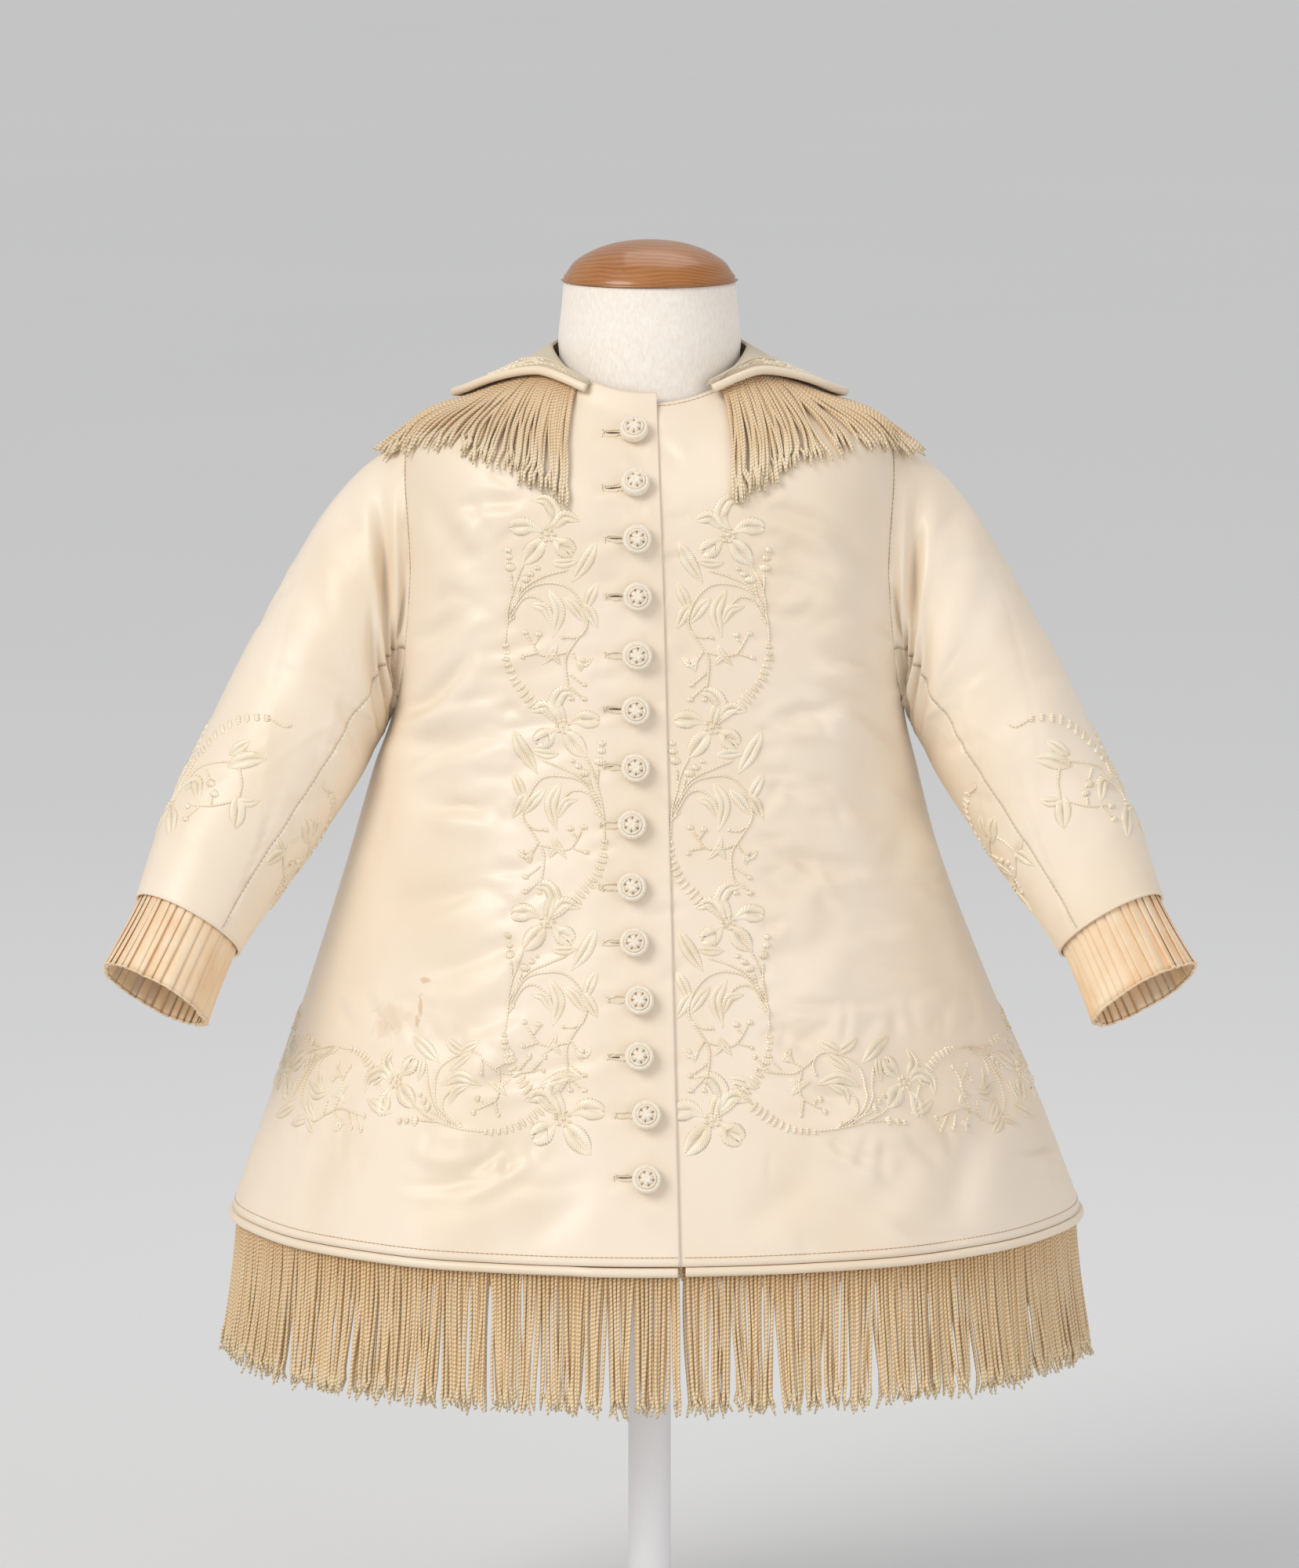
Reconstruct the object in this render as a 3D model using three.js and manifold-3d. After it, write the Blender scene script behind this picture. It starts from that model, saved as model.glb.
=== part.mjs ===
// Child's silk-satin coat with fringed collar and hem, on a limbless dress form and pole stand.
// Millimetres, +Z up. The origin is the centre of the stand's underside. -Y is the coat's front
// and +X is the wearer's left. Every cloth piece is a thin wall on one of three surfaces: the body
// (polar angle, girth station), a sleeve (station, angle round it) or the collar (angle, reach).
import * as THREE from 'three';
import Module from 'manifold-3d';

const wasm = await Module();
wasm.setup();

// ---- cloth and trimming sizes
const WALL = 1.6;
const SEAM_GAP = 0.3;
const FACE = WALL / 2;
const PIPING_RADIUS = 2.4;
const COLLAR_PIPING_RADIUS = 2.2;
const OVERLAP_LIFT = WALL + 0.4;
const SMALL_STEP = 1e-3;
const SEARCH_STEPS = 12;

// ---- the coat body: one row per girth station, measured up the side from the floor
// high: height at the front, the side and the back; the rest: half-sizes; power: squareness
const HEM = 252.5;
const UNDERARM = 512;
const SHOULDER_TIP = 646;
const NECKLINE = 726;
const BODY_ROWS = [
  { at: HEM, high: [HEM, HEM, HEM], right: 214, left: 221, front: 154, back: 154, power: 2 },
  { at: 310, high: [310, 310, 310], right: 194, left: 199, front: 139, back: 140, power: 2 },
  { at: 370, high: [370, 370, 370], right: 173.5, left: 173, front: 124, back: 125, power: 2 },
  { at: 435, high: [435, 435, 435], right: 153, left: 148, front: 109, back: 111, power: 2.1 },
  { at: 480, high: [480, 480, 480], right: 140, left: 136, front: 100, back: 101, power: 2.2 },
  { at: UNDERARM, high: [512, 512, 512], right: 129.5, left: 129, front: 95, back: 93, power: 2.4 },
  { at: 580, high: [576, 580, 584], right: 127.5, left: 127.5, front: 89, back: 87, power: 2.5 },
  { at: SHOULDER_TIP, high: [624, 651, 641], right: 121, left: 121, front: 84, back: 81, power: 2.4 },
  { at: 684, high: [648, 669, 669], right: 87, left: 87, front: 66, back: 68, power: 2.2 },
  { at: 706, high: [661, 678, 681.5], right: 66, left: 66, front: 56.5, back: 57, power: 2.05 },
  { at: NECKLINE, high: [671, 685, 692], right: 49, left: 49, front: 49, back: 49, power: 2 },
].map(({ high, ...row }) => ({ ...row, zFront: high[0], zSide: high[1], zBack: high[2] }));

// ---- soft folds of the body: angle from the centre front in degrees, negative on the wearer's
// right; tilt: degrees for each millimetre up; reach: half its height; depth: outward or inward
const BODY_FOLDS = [
  { angle: -52, tilt: 0.05, at: 560, reach: 75, width: 7, depth: 3.2 },
  { angle: -60, tilt: 0.08, at: 470, reach: 60, width: 6, depth: -3 },
  { angle: 53, tilt: -0.05, at: 555, reach: 70, width: 7, depth: 3 },
  { angle: 62, tilt: -0.1, at: 465, reach: 55, width: 6, depth: -2.6 },
  { angle: -38, tilt: 0.03, at: 320, reach: 80, width: 9, depth: 3.4 },
  { angle: 42, tilt: -0.03, at: 330, reach: 85, width: 9, depth: 3.2 },
  { angle: 74, tilt: 0, at: 330, reach: 90, width: 8, depth: -3 },
  { angle: -75, tilt: 0, at: 325, reach: 90, width: 8, depth: -3.2 },
  { angle: 125, tilt: 0.04, at: 350, reach: 110, width: 9, depth: 4 },
  { angle: 152, tilt: 0, at: 320, reach: 90, width: 8, depth: -3 },
  { angle: 180, tilt: 0, at: 340, reach: 120, width: 9, depth: 4 },
  { angle: -151, tilt: 0, at: 325, reach: 95, width: 8, depth: -3 },
  { angle: -126, tilt: -0.04, at: 345, reach: 105, width: 9, depth: 3.8 },
];

// ---- armholes: an oval in girth station and angle
const ARMHOLE_AT = (SHOULDER_TIP + UNDERARM) / 2;
const ARMHOLE_REACH = (SHOULDER_TIP - UNDERARM) / 2;
const ARMHOLE_HALF_ANGLE = { front: 18.5, back: 19.5 };
const ARMHOLE_STEPS = 9;
const ARMHOLE_GAP = 0.75;
const SIDE_SEAM_INSET = 0.33;

// ---- front edges: the wearer's right front laps over the left
const EDGE_AT_NECK = 3.5;
const EDGE_AT_HEM = 15.2;
const UNDERLAP_EDGE = -25;
const LAP_STARTS = -42;
const LAP_MIDDLE = -8;
const LEFT_FRONT_FIXED = [26, 42];
const LAP_CLEAR = 1.5;

// ---- sleeves: outer and inner edge of each ring, its place forward and half depth (right sleeve)
const SLEEVE_RINGS = [
  { outX: -145.5, outZ: 632, inX: -132.2, inZ: 510.5, y: -1, half: 42 },
  { outX: -164.6, outZ: 610.2, inX: -133.2, inZ: 507, y: -3, half: 42.5 },
  { outX: -182.6, outZ: 580.5, inX: -135.6, inZ: 500, y: -6, half: 42.5 },
  { outX: -198.5, outZ: 553, inX: -139.4, inZ: 492, y: -10, half: 42 },
  { outX: -212, outZ: 527.6, inX: -145.2, inZ: 480.5, y: -15, half: 41 },
  { outX: -225.3, outZ: 500.5, inX: -155.8, inZ: 464, y: -22, half: 39.5 },
  { outX: -238.1, outZ: 475.7, inX: -173.6, inZ: 439, y: -31, half: 37 },
  { outX: -248.6, outZ: 452, inX: -190.4, inZ: 417.5, y: -41, half: 33 },
  { outX: -258.2, outZ: 422.4, inX: -207.6, inZ: 392.3, y: -54, half: 29.5 },
];
const SLEEVE_FOLDS = [
  { at: 1.4, angle: 95, tilt: 26, width: 0.5, turn: 38, depth: -2.6 },
  { at: 2.7, angle: 80, tilt: 20, width: 0.5, turn: 42, depth: 2.4 },
  { at: 4.1, angle: 125, tilt: 14, width: 0.55, turn: 40, depth: -2.6 },
  { at: 5.6, angle: 70, tilt: 18, width: 0.5, turn: 36, depth: 2 },
  { at: 2.2, angle: 250, tilt: -22, width: 0.5, turn: 42, depth: -2.4 },
  { at: 4.4, angle: 270, tilt: -15, width: 0.55, turn: 40, depth: 2.4 },
];
const SLEEVE_COLUMNS = 18;
const SEAM_COLUMN = 6;
const SLEEVE_SEAM_INSET = 0.35;

// ---- cuff frills
const PLEATS = 36;
const PLEAT_RISE = 0.6;
const FRILL_WALL = 1.5;
const FRILL_TUCK = 5;
const FRILL_LENGTH = 40;
const FRILL_DEPTH = { sewn: 1, free: 1.5 };
const FRILL_FLARE = 2.6;
const FRILL_GAP = 0.9;

// ---- collar: its free edge at each angle from the centre front. at: how far down the body it
// reaches; lift: its height off the body; stand: height of the neck edge over the neckline
const COLLAR_EDGE = [
  { angle: 36, at: 724, lift: 6.5, stand: 3 },
  { angle: 50, at: 721, lift: 8.5, stand: 4 },
  { angle: 64, at: 716, lift: 9.3, stand: 6 },
  { angle: 73, at: 708, lift: 9, stand: 8 },
  { angle: 81, at: 697, lift: 8.2, stand: 9.5 },
  { angle: 88, at: 685, lift: 7.2, stand: 10.5 },
  { angle: 97, at: 676, lift: 6.4, stand: 10.5 },
  { angle: 120, at: 668, lift: 6, stand: 11 },
  { angle: 150, at: 661, lift: 6, stand: 11.5 },
  { angle: 180, at: 657, lift: 6, stand: 12 },
];
const COLLAR_ROLL_LIFT = 9.5;
const COLLAR_ROWS = [0, 0.1, 0.4, 0.7, 1];
const COLLAR_COLUMNS = 27;

// ---- buttons, top to bottom down the lapped edge
const BUTTON_RADIUS = 7.3;
const BUTTON_SIDES = 10;
const BUTTON_GAP = 0.4;
const BUTTONS = [
  { x: -7.7, z: 656.5 },
  { x: -7.2, z: 631.9 },
  { x: -6, z: 607.5 },
  { x: -5.8, z: 578.9 },
  { x: -6, z: 549.7 },
  { x: -6.7, z: 522.4 },
  { x: -6.8, z: 493.8 },
  { x: -8.5, z: 465.8 },
  { x: -8.6, z: 435.4 },
  { x: -7.4, z: 408.5 },
  { x: -4.9, z: 380.5 },
  { x: -4.9, z: 353.4 },
  { x: -1.4, z: 325.2 },
  { x: -1.4, z: 294.3 },
];

// ---- fringes
const FRINGE_WIDTH = 4.6;
const FRINGE_DEPTH = 2.6;
const HEM_FRINGE_LENGTH = 71;
const HEM_FRINGE_SPACING = 9.4;
const HEM_FRINGE_FLARE = 8.5;
const COLLAR_FRINGE_LENGTH = { front: 73, shoulder: 57 };
const COLLAR_FRINGE_STRANDS = 56;
const STRIP_WALL = 1.3;
const FRINGE_LOW = { body: 3, sleeve: 4.2 };
const FRINGE_UNEVEN = 1.5;
const HEM_STRIP_HEIGHT = 5.5;
const COLLAR_STRIP_HEIGHT = 7;
const COLLAR_STRIP_DROP = 0.6;
const STRAND_SIZE = { root: 0.42, hem: 1, collar: 0.9, tip: 0.8 };

// ---- dress form and stand
const FORM_GAP = 1.65;
const FORM_ROWS = [
  { z: 358, side: 88, deep: 66 },
  { z: 362, side: 104, deep: 79 },
  { z: 372, side: 110, deep: 84 },
  { z: 420, side: 107, deep: 81 },
  { z: 470, side: 110, deep: 81 },
  { z: 520, side: 117, deep: 84 },
];
const FORM_STATIONS = [
  { at: 572, inset: 3.5 },
  { at: 615, inset: 2 },
  { at: 642, inset: 0.4 },
  { at: 668, inset: 0.4 },
  { at: 692, inset: 0.6 },
  { at: 713, inset: 0.6 },
];
const NECK_ROWS = [
  { z: 700, radius: 46.2 },
  { z: 716, radius: 44.4 },
  { z: 728, radius: 43.6 },
];
const NECK_BASE = 46.6;
const NECK_BASE_DROP = 1;
const FORM_SIDES = 24;
const CAP_RADIUS = 43.5;
const CAP_EDGE = 3;
const CAP_HEIGHT = 21;
const POLE_RADIUS = 11;
const BASE_RADIUS = 150;
const BASE_HEIGHT = 9;

const COLOURS = {
  satin: 0xeee0cd,
  frill: 0xf5e2c9,
  fringe: 0xd2b894,
  crochet: 0xeadbc2,
  jersey: 0xf3eae0,
  wood: 0xc08a5f,
  paint: 0xd6d6d6,
};

const coat = new THREE.Group();

// ---------------------------------------------------------------- small tools

function radians(degrees) {
  return degrees * Math.PI / 180;
}

function smooth(from, to, value) {
  return THREE.MathUtils.smoothstep(value, from, to);
}

// Interpolates every column of a table along its key column with a smooth curve.
function along(rows, key, place) {
  let low = 0;
  while (low < rows.length - 2 && rows[low + 1][key] < place) {
    low += 1;
  }
  const span = rows[low + 1][key] - rows[low][key];
  const t = THREE.MathUtils.clamp((place - rows[low][key]) / span, 0, 1);
  const row = {};
  for (const name of Object.keys(rows[low])) {
    const slope = (index) => {
      const before = rows[Math.max(index - 1, 0)];
      const after = rows[Math.min(index + 1, rows.length - 1)];
      return span * (after[name] - before[name]) / (after[key] - before[key]);
    };
    const a = rows[low][name];
    const b = rows[low + 1][name];
    row[name] = a * (1 + 2 * t) * (1 - t) ** 2 + b * (3 - 2 * t) * t ** 2
      + slope(low) * t * (1 - t) ** 2 - slope(low + 1) * (1 - t) * t ** 2;
  }
  return row;
}

// Unit normal of a surface at (u, v); the surface's u then v directions turn outward.
function normalAt(surface, u, v) {
  const du = surface(u + SMALL_STEP, v).sub(surface(u - SMALL_STEP, v));
  const dv = surface(u, v + SMALL_STEP).sub(surface(u, v - SMALL_STEP));
  return du.cross(dv).normalize();
}

// Turns a triangle list so that its volume is positive, and makes the geometry.
function closedGeometry(points, triangles) {
  let volume = 0;
  for (const [a, b, c] of triangles) {
    volume += points[a].dot(points[b].clone().cross(points[c]));
  }
  const turned = volume > 0 ? triangles : triangles.map(([a, b, c]) => [a, c, b]);
  const geometry = new THREE.BufferGeometry();
  geometry.setAttribute('position', new THREE.Float32BufferAttribute(points.flatMap((p) => p.toArray()), 3));
  geometry.setIndex(turned.flat());
  return geometry;
}

// A wall of cloth on a grid: place(row, column) gives { point, normal }, the wall's middle.
function wallGeometry(rows, columns, place, wall = WALL) {
  const points = [];
  for (const side of [1, -1]) {
    for (let i = 0; i < rows; i += 1) {
      for (let j = 0; j < columns; j += 1) {
        const { point, normal } = place(i, j);
        points.push(point.clone().addScaledVector(normal, side * wall / 2));
      }
    }
  }
  const inner = rows * columns;
  const triangles = [];
  const quad = (a, b, c, d) => triangles.push([a, b, c], [a, c, d]);
  for (let i = 0; i < rows - 1; i += 1) {
    for (let j = 0; j < columns - 1; j += 1) {
      const a = i * columns + j;
      quad(a, a + 1, a + columns + 1, a + columns);
      quad(inner + a, inner + a + columns, inner + a + columns + 1, inner + a + 1);
    }
  }
  for (let j = 0; j < columns - 1; j += 1) {
    const top = (rows - 1) * columns + j;
    quad(j, inner + j, inner + j + 1, j + 1);
    quad(top, top + 1, inner + top + 1, inner + top);
  }
  for (let i = 0; i < rows - 1; i += 1) {
    const left = i * columns;
    const right = left + columns - 1;
    quad(left, left + columns, inner + left + columns, inner + left);
    quad(right, inner + right, inner + right + columns, right + columns);
  }
  return closedGeometry(points, triangles);
}

// A solid skinned over stations, each a ring of points in order, closed by flat ends.
function loftGeometry(stations) {
  const count = stations[0].length;
  const triangles = [];
  for (let i = 0; i < stations.length - 1; i += 1) {
    for (let j = 0; j < count; j += 1) {
      const a = i * count + j;
      const b = i * count + (j + 1) % count;
      triangles.push([a, b, b + count], [a, b + count, a + count]);
    }
  }
  const last = (stations.length - 1) * count;
  for (let j = 1; j < count - 1; j += 1) {
    triangles.push([0, j + 1, j], [last, last + j, last + j + 1]);
  }
  return closedGeometry(stations.flat(), triangles);
}

// A round cord through points; the section is a regular polygon turned to each point's frame.
function cordGeometry(path, radius, sides) {
  const stations = path.map(({ point, normal }, index) => {
    const before = path[Math.max(index - 1, 0)].point;
    const after = path[Math.min(index + 1, path.length - 1)].point;
    const tangent = after.clone().sub(before).normalize();
    const across = tangent.clone().cross(normal).normalize();
    const up = across.clone().cross(tangent).normalize();
    return Array.from({ length: sides }, (_, side) => {
      const angle = 2 * Math.PI * (side + 0.5) / sides;
      return point.clone().addScaledVector(across, radius * Math.cos(angle))
        .addScaledVector(up, radius * Math.sin(angle));
    });
  });
  return loftGeometry(stations);
}

function toManifold(geometry) {
  const vertProperties = geometry.attributes.position.array;
  const triVerts = new Uint32Array(geometry.index.array);
  return new wasm.Manifold(new wasm.Mesh({ numProp: 3, vertProperties, triVerts }));
}

function fromManifold(solid) {
  const mesh = solid.getMesh();
  const geometry = new THREE.BufferGeometry();
  geometry.setAttribute('position', new THREE.BufferAttribute(mesh.vertProperties, 3));
  geometry.setIndex(Array.from(mesh.triVerts));
  return geometry;
}

function addPiece(name, geometry, color, roughness, metalness = 0) {
  const mesh = new THREE.Mesh(geometry, new THREE.MeshStandardMaterial({ color, roughness, metalness }));
  mesh.name = name;
  coat.add(mesh);
  return mesh;
}

// ---------------------------------------------------------------- the body surface

function foldRelief(angle, at) {
  let relief = 0;
  for (const fold of BODY_FOLDS) {
    const middle = fold.angle + fold.tilt * (at - fold.at);
    const off = ((angle - middle + 540) % 360 - 180) / fold.width;
    const down = (at - fold.at) / fold.reach;
    relief += fold.depth * Math.exp(-(off ** 2)) * Math.exp(-(down ** 4));
  }
  return relief;
}

function bodyPoint(angle, at) {
  const row = along(BODY_ROWS, 'at', at);
  const sine = Math.sin(radians(angle));
  const cosine = Math.cos(radians(angle));
  const halfWidth = sine < 0 ? row.right : row.left;
  const halfDepth = cosine > 0 ? row.front : row.back;
  const reach = Math.abs(sine / halfWidth) ** row.power + Math.abs(cosine / halfDepth) ** row.power;
  const radius = reach ** (-1 / row.power) + foldRelief(angle, at);
  const zEnd = cosine > 0 ? row.zFront : row.zBack;
  return new THREE.Vector3(radius * sine, -radius * cosine, row.zSide + (zEnd - row.zSide) * cosine ** 2);
}

// Place on the body, moved out along its normal by the lift.
function bodyPlace(angle, at, lift = 0) {
  const inside = THREE.MathUtils.clamp(at, HEM + SMALL_STEP, NECKLINE - SMALL_STEP);
  const normal = normalAt(bodyPoint, angle, inside);
  return { point: bodyPoint(angle, at).addScaledVector(normal, lift), normal };
}

// Angle at which the body surface has a given x, near the centre front.
function angleOfX(x, at) {
  let angle = 0;
  for (let step = 0; step < SEARCH_STEPS; step += 1) {
    const point = bodyPoint(angle, at);
    const radius = Math.hypot(point.x, point.y);
    angle = Math.asin(THREE.MathUtils.clamp(x / radius, -1, 1)) * 180 / Math.PI;
  }
  return angle;
}

// Half angle of the armhole at a girth station, zero outside it.
function armholeAngle(at, half) {
  const off = (at - ARMHOLE_AT) / ARMHOLE_REACH;
  return half * Math.sqrt(Math.max(0, 1 - off ** 2));
}

// Girth stations of the panels' rows; the armhole's rows match the sleeve's columns.
const PANEL_STATIONS = [HEM, 300, 350, 400, 445, 483];
for (let step = 0; step <= ARMHOLE_STEPS; step += 1) {
  PANEL_STATIONS.push(ARMHOLE_AT - ARMHOLE_REACH * Math.cos(Math.PI * step / ARMHOLE_STEPS));
}
PANEL_STATIONS.push(661, 680, 703, NECKLINE);

// Angle of a panel's side edge, short of the seam or the armhole.
function sideEdge(at, half, sign) {
  const gap = SIDE_SEAM_INSET / bodyPoint(90, at).length() * 180 / Math.PI;
  return 90 + sign * (armholeAngle(at, half) + gap);
}

// ---------------------------------------------------------------- fronts and back

const FRONT_COLUMNS = 12;

function lapLift(x) {
  return OVERLAP_LIFT * smooth(LAP_STARTS, UNDERLAP_EDGE - 1, x);
}

function lappedEdge(at) {
  return THREE.MathUtils.mapLinear(at, HEM, NECKLINE, EDGE_AT_HEM, EDGE_AT_NECK);
}

// A front's angle at a column: fixed distances near the opening, then even to the side seam.
function frontAngle(at, column, fixed, sign) {
  const angle = angleOfX(fixed[Math.min(column, fixed.length - 1)], at);
  if (column < fixed.length) {
    return angle;
  }
  const side = sign * sideEdge(at, ARMHOLE_HALF_ANGLE.front, -1);
  return angle + (side - angle) * (column - fixed.length + 1) / (FRONT_COLUMNS - fixed.length);
}

// The wearer's right front, from its side seam to the lapped edge.
function frontRightPlace(at, column) {
  const fixed = [lappedEdge(at), LAP_MIDDLE, UNDERLAP_EDGE, LAP_STARTS];
  const angle = frontAngle(at, FRONT_COLUMNS - 1 - column, fixed, -1);
  const { point, normal } = bodyPlace(angle, at);
  return { point: point.addScaledVector(normal, lapLift(point.x)), normal };
}

// The wearer's left front, from its underlap to the side seam.
function frontLeftPlace(at, column) {
  const fixed = [UNDERLAP_EDGE, LAP_MIDDLE, lappedEdge(at), ...LEFT_FRONT_FIXED];
  return bodyPlace(frontAngle(at, column, fixed, 1), at);
}

const BACK_COLUMNS = 17;

function backPlace(at, column) {
  const edge = sideEdge(at, ARMHOLE_HALF_ANGLE.back, 1);
  return bodyPlace(edge + (360 - 2 * edge) * column / (BACK_COLUMNS - 1), at);
}

const PANELS = [
  { name: 'front_right', columns: FRONT_COLUMNS, place: frontRightPlace },
  { name: 'front_left', columns: FRONT_COLUMNS, place: frontLeftPlace },
  { name: 'back', columns: BACK_COLUMNS, place: backPlace },
];
for (const { name, columns, place } of PANELS) {
  const geometry = wallGeometry(PANEL_STATIONS.length, columns, (i, j) => place(PANEL_STATIONS[i], j));
  addPiece(name, geometry, COLOURS.satin, 0.4);
}

// ---------------------------------------------------------------- sleeves

// Ring 0 stands on the panels' outer faces at the armhole; the others are ovals down the arm.
function armholePlace(side, turn) {
  const at = ARMHOLE_AT + ARMHOLE_REACH * Math.cos(radians(turn));
  const half = Math.sin(radians(turn)) > 0 ? ARMHOLE_HALF_ANGLE.front : ARMHOLE_HALF_ANGLE.back;
  const angle = 90 - half * Math.sin(radians(turn));
  return bodyPlace(side * angle, at, FACE + ARMHOLE_GAP).point;
}

function sleeveCentre(index) {
  const ring = SLEEVE_RINGS[THREE.MathUtils.clamp(index, 0, SLEEVE_RINGS.length - 1)];
  return new THREE.Vector3((ring.outX + ring.inX) / 2, ring.y, (ring.outZ + ring.inZ) / 2);
}

function sleeveRingPoint(side, index, turn) {
  if (index < 0) {
    return armholePlace(side, turn);
  }
  const ring = SLEEVE_RINGS[index];
  const across = new THREE.Vector3((ring.outX - ring.inX) / 2, 0, (ring.outZ - ring.inZ) / 2);
  const axis = sleeveCentre(index + 1).sub(sleeveCentre(index - 1)).normalize();
  const deep = axis.cross(across.clone().normalize()).normalize().multiplyScalar(-ring.half);
  const point = sleeveCentre(index).addScaledVector(across, Math.cos(radians(turn)))
    .addScaledVector(deep, Math.sin(radians(turn)));
  return new THREE.Vector3(-side * point.x, point.y, point.z);
}

// Smooth curve through the rings at one turn round the sleeve; station 0 is the armhole.
function sleevePoint(side, station, turn) {
  const last = SLEEVE_RINGS.length;
  const low = THREE.MathUtils.clamp(Math.floor(station), 0, last - 1);
  const near = [-1, 0, 1, 2].map((step) => THREE.MathUtils.clamp(low + step, 0, last) - 1);
  const [p0, p1, p2, p3] = near.map((index) => sleeveRingPoint(side, index, turn));
  const t = station - low;
  const point = p1.clone().multiplyScalar((1 + 2 * t) * (1 - t) ** 2);
  point.addScaledVector(p2, (3 - 2 * t) * t ** 2);
  point.addScaledVector(p2.clone().sub(p0), 0.5 * t * (1 - t) ** 2);
  point.addScaledVector(p3.clone().sub(p1), -0.5 * (1 - t) * t ** 2);
  return point;
}

function sleeveRelief(station, turn) {
  let relief = 0;
  for (const fold of SLEEVE_FOLDS) {
    const off = (turn - fold.angle + 540) % 360 - 180;
    const down = (station - fold.at - off / fold.turn * fold.tilt / 60) / fold.width;
    relief += fold.depth * Math.exp(-(down ** 2)) * Math.exp(-((off / fold.turn) ** 2));
  }
  return relief;
}

function sleevePlace(side, station, turn, lift = 0) {
  const surface = (u, v) => sleevePoint(side, u, v);
  const normal = normalAt(surface, Math.max(station, SMALL_STEP), turn).multiplyScalar(-side);
  const point = sleevePoint(side, station, turn);
  return { point: point.addScaledVector(normal, lift + sleeveRelief(station, turn)), normal };
}

// The first ring's wall is turned to lie along the panel's face, so that it stands on it.
function sleeveRowPlace(side, station, turn) {
  const place = sleevePlace(side, station, turn);
  if (station === 0) {
    const centre = sleevePoint(side, 0, 0).add(sleevePoint(side, 0, 180)).multiplyScalar(0.5);
    const panel = normalAt(bodyPoint, side * 90, ARMHOLE_AT);
    const out = place.point.clone().sub(centre);
    place.normal = out.addScaledVector(panel, -out.dot(panel)).normalize();
  }
  return place;
}

// One piece of a sleeve, between two of its columns.
function sleevePiece(side, firstColumn, lastColumn) {
  const step = 360 / SLEEVE_COLUMNS;
  const columns = lastColumn - firstColumn + 1;
  return wallGeometry(SLEEVE_RINGS.length + 1, columns, (station, j) => {
    const inset = (j === 0 ? SLEEVE_SEAM_INSET : 0) - (j === columns - 1 ? SLEEVE_SEAM_INSET : 0);
    return sleeveRowPlace(side, station, (firstColumn + j) * step + inset);
  });
}

for (const { side, label } of [{ side: -1, label: 'right' }, { side: 1, label: 'left' }]) {
  addPiece(`sleeve_upper_${label}`, sleevePiece(side, -SEAM_COLUMN, SEAM_COLUMN), COLOURS.satin, 0.4);
  const under = sleevePiece(side, SEAM_COLUMN, SLEEVE_COLUMNS - SEAM_COLUMN);
  addPiece(`sleeve_under_${label}`, under, COLOURS.satin, 0.4);
}

// ---------------------------------------------------------------- cuff frills

// Knife pleats round the sleeve's end: a slow rise and a quick fall, tucked inside the sleeve.
function frillGeometry(side) {
  const end = SLEEVE_RINGS.length;
  const centre = sleevePoint(side, end, 0).add(sleevePoint(side, end, 180)).multiplyScalar(0.5);
  const before = sleevePoint(side, end - 1, 0).add(sleevePoint(side, end - 1, 180)).multiplyScalar(0.5);
  const axis = centre.clone().sub(before).normalize();
  const rings = [
    { along: -FRILL_TUCK, depth: FRILL_DEPTH.sewn, flare: 0 },
    { along: FRILL_LENGTH * 0.45, depth: FRILL_DEPTH.free, flare: FRILL_FLARE * 0.6 },
    { along: FRILL_LENGTH, depth: FRILL_DEPTH.free, flare: FRILL_FLARE },
  ];
  const points = [];
  const count = 2 * PLEATS;
  for (const wallSide of [1, -1]) {
    for (const ring of rings) {
      for (let j = 0; j < count; j += 1) {
        const pleat = Math.floor(j / 2) + (j % 2) * PLEAT_RISE;
        const turn = 360 * pleat / PLEATS;
        const place = sleevePlace(side, end, turn);
        const out = place.point.clone().sub(centre);
        out.addScaledVector(axis, -out.dot(axis));
        const crest = j % 2 === 1 ? 0 : -2 * ring.depth;
        const inset = wallSide === 1 ? 0 : -FRILL_WALL;
        const reach = out.length() - FACE - FRILL_GAP + crest + inset + ring.flare;
        points.push(centre.clone().addScaledVector(out.normalize(), reach).addScaledVector(axis, ring.along));
      }
    }
  }
  const inner = rings.length * count;
  const triangles = [];
  const quad = (a, b, c, d) => triangles.push([a, b, c], [a, c, d]);
  for (let j = 0; j < count; j += 1) {
    const next = (j + 1) % count;
    for (let i = 0; i < rings.length - 1; i += 1) {
      const a = i * count + j;
      const b = i * count + next;
      quad(a, b, b + count, a + count);
      quad(inner + a, inner + a + count, inner + b + count, inner + b);
    }
    const far = (rings.length - 1) * count;
    quad(j, inner + j, inner + next, next);
    quad(far + j, far + next, inner + far + next, inner + far + j);
  }
  return closedGeometry(points, triangles);
}

addPiece('cuff_frill_right', frillGeometry(-1), COLOURS.frill, 0.5);
addPiece('cuff_frill_left', frillGeometry(1), COLOURS.frill, 0.5);

// ---------------------------------------------------------------- collar and its piping

function collarEdge(angle) {
  return along(COLLAR_EDGE, 'angle', Math.abs(angle));
}

// share runs from the neck edge, which stands against the neck, to the free edge.
function collarPoint(angle, share) {
  const edge = collarEdge(angle);
  const lift = edge.lift + Math.max(0, COLLAR_ROLL_LIFT - edge.lift) * (1 - share) ** 2;
  const standing = 1 - smooth(0, 0.16, share);
  const { point, normal } = bodyPlace(angle, NECKLINE + (edge.at - NECKLINE) * share);
  point.addScaledVector(normal, lift * (1 - standing));
  point.z += edge.stand * standing;
  return point;
}

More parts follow.
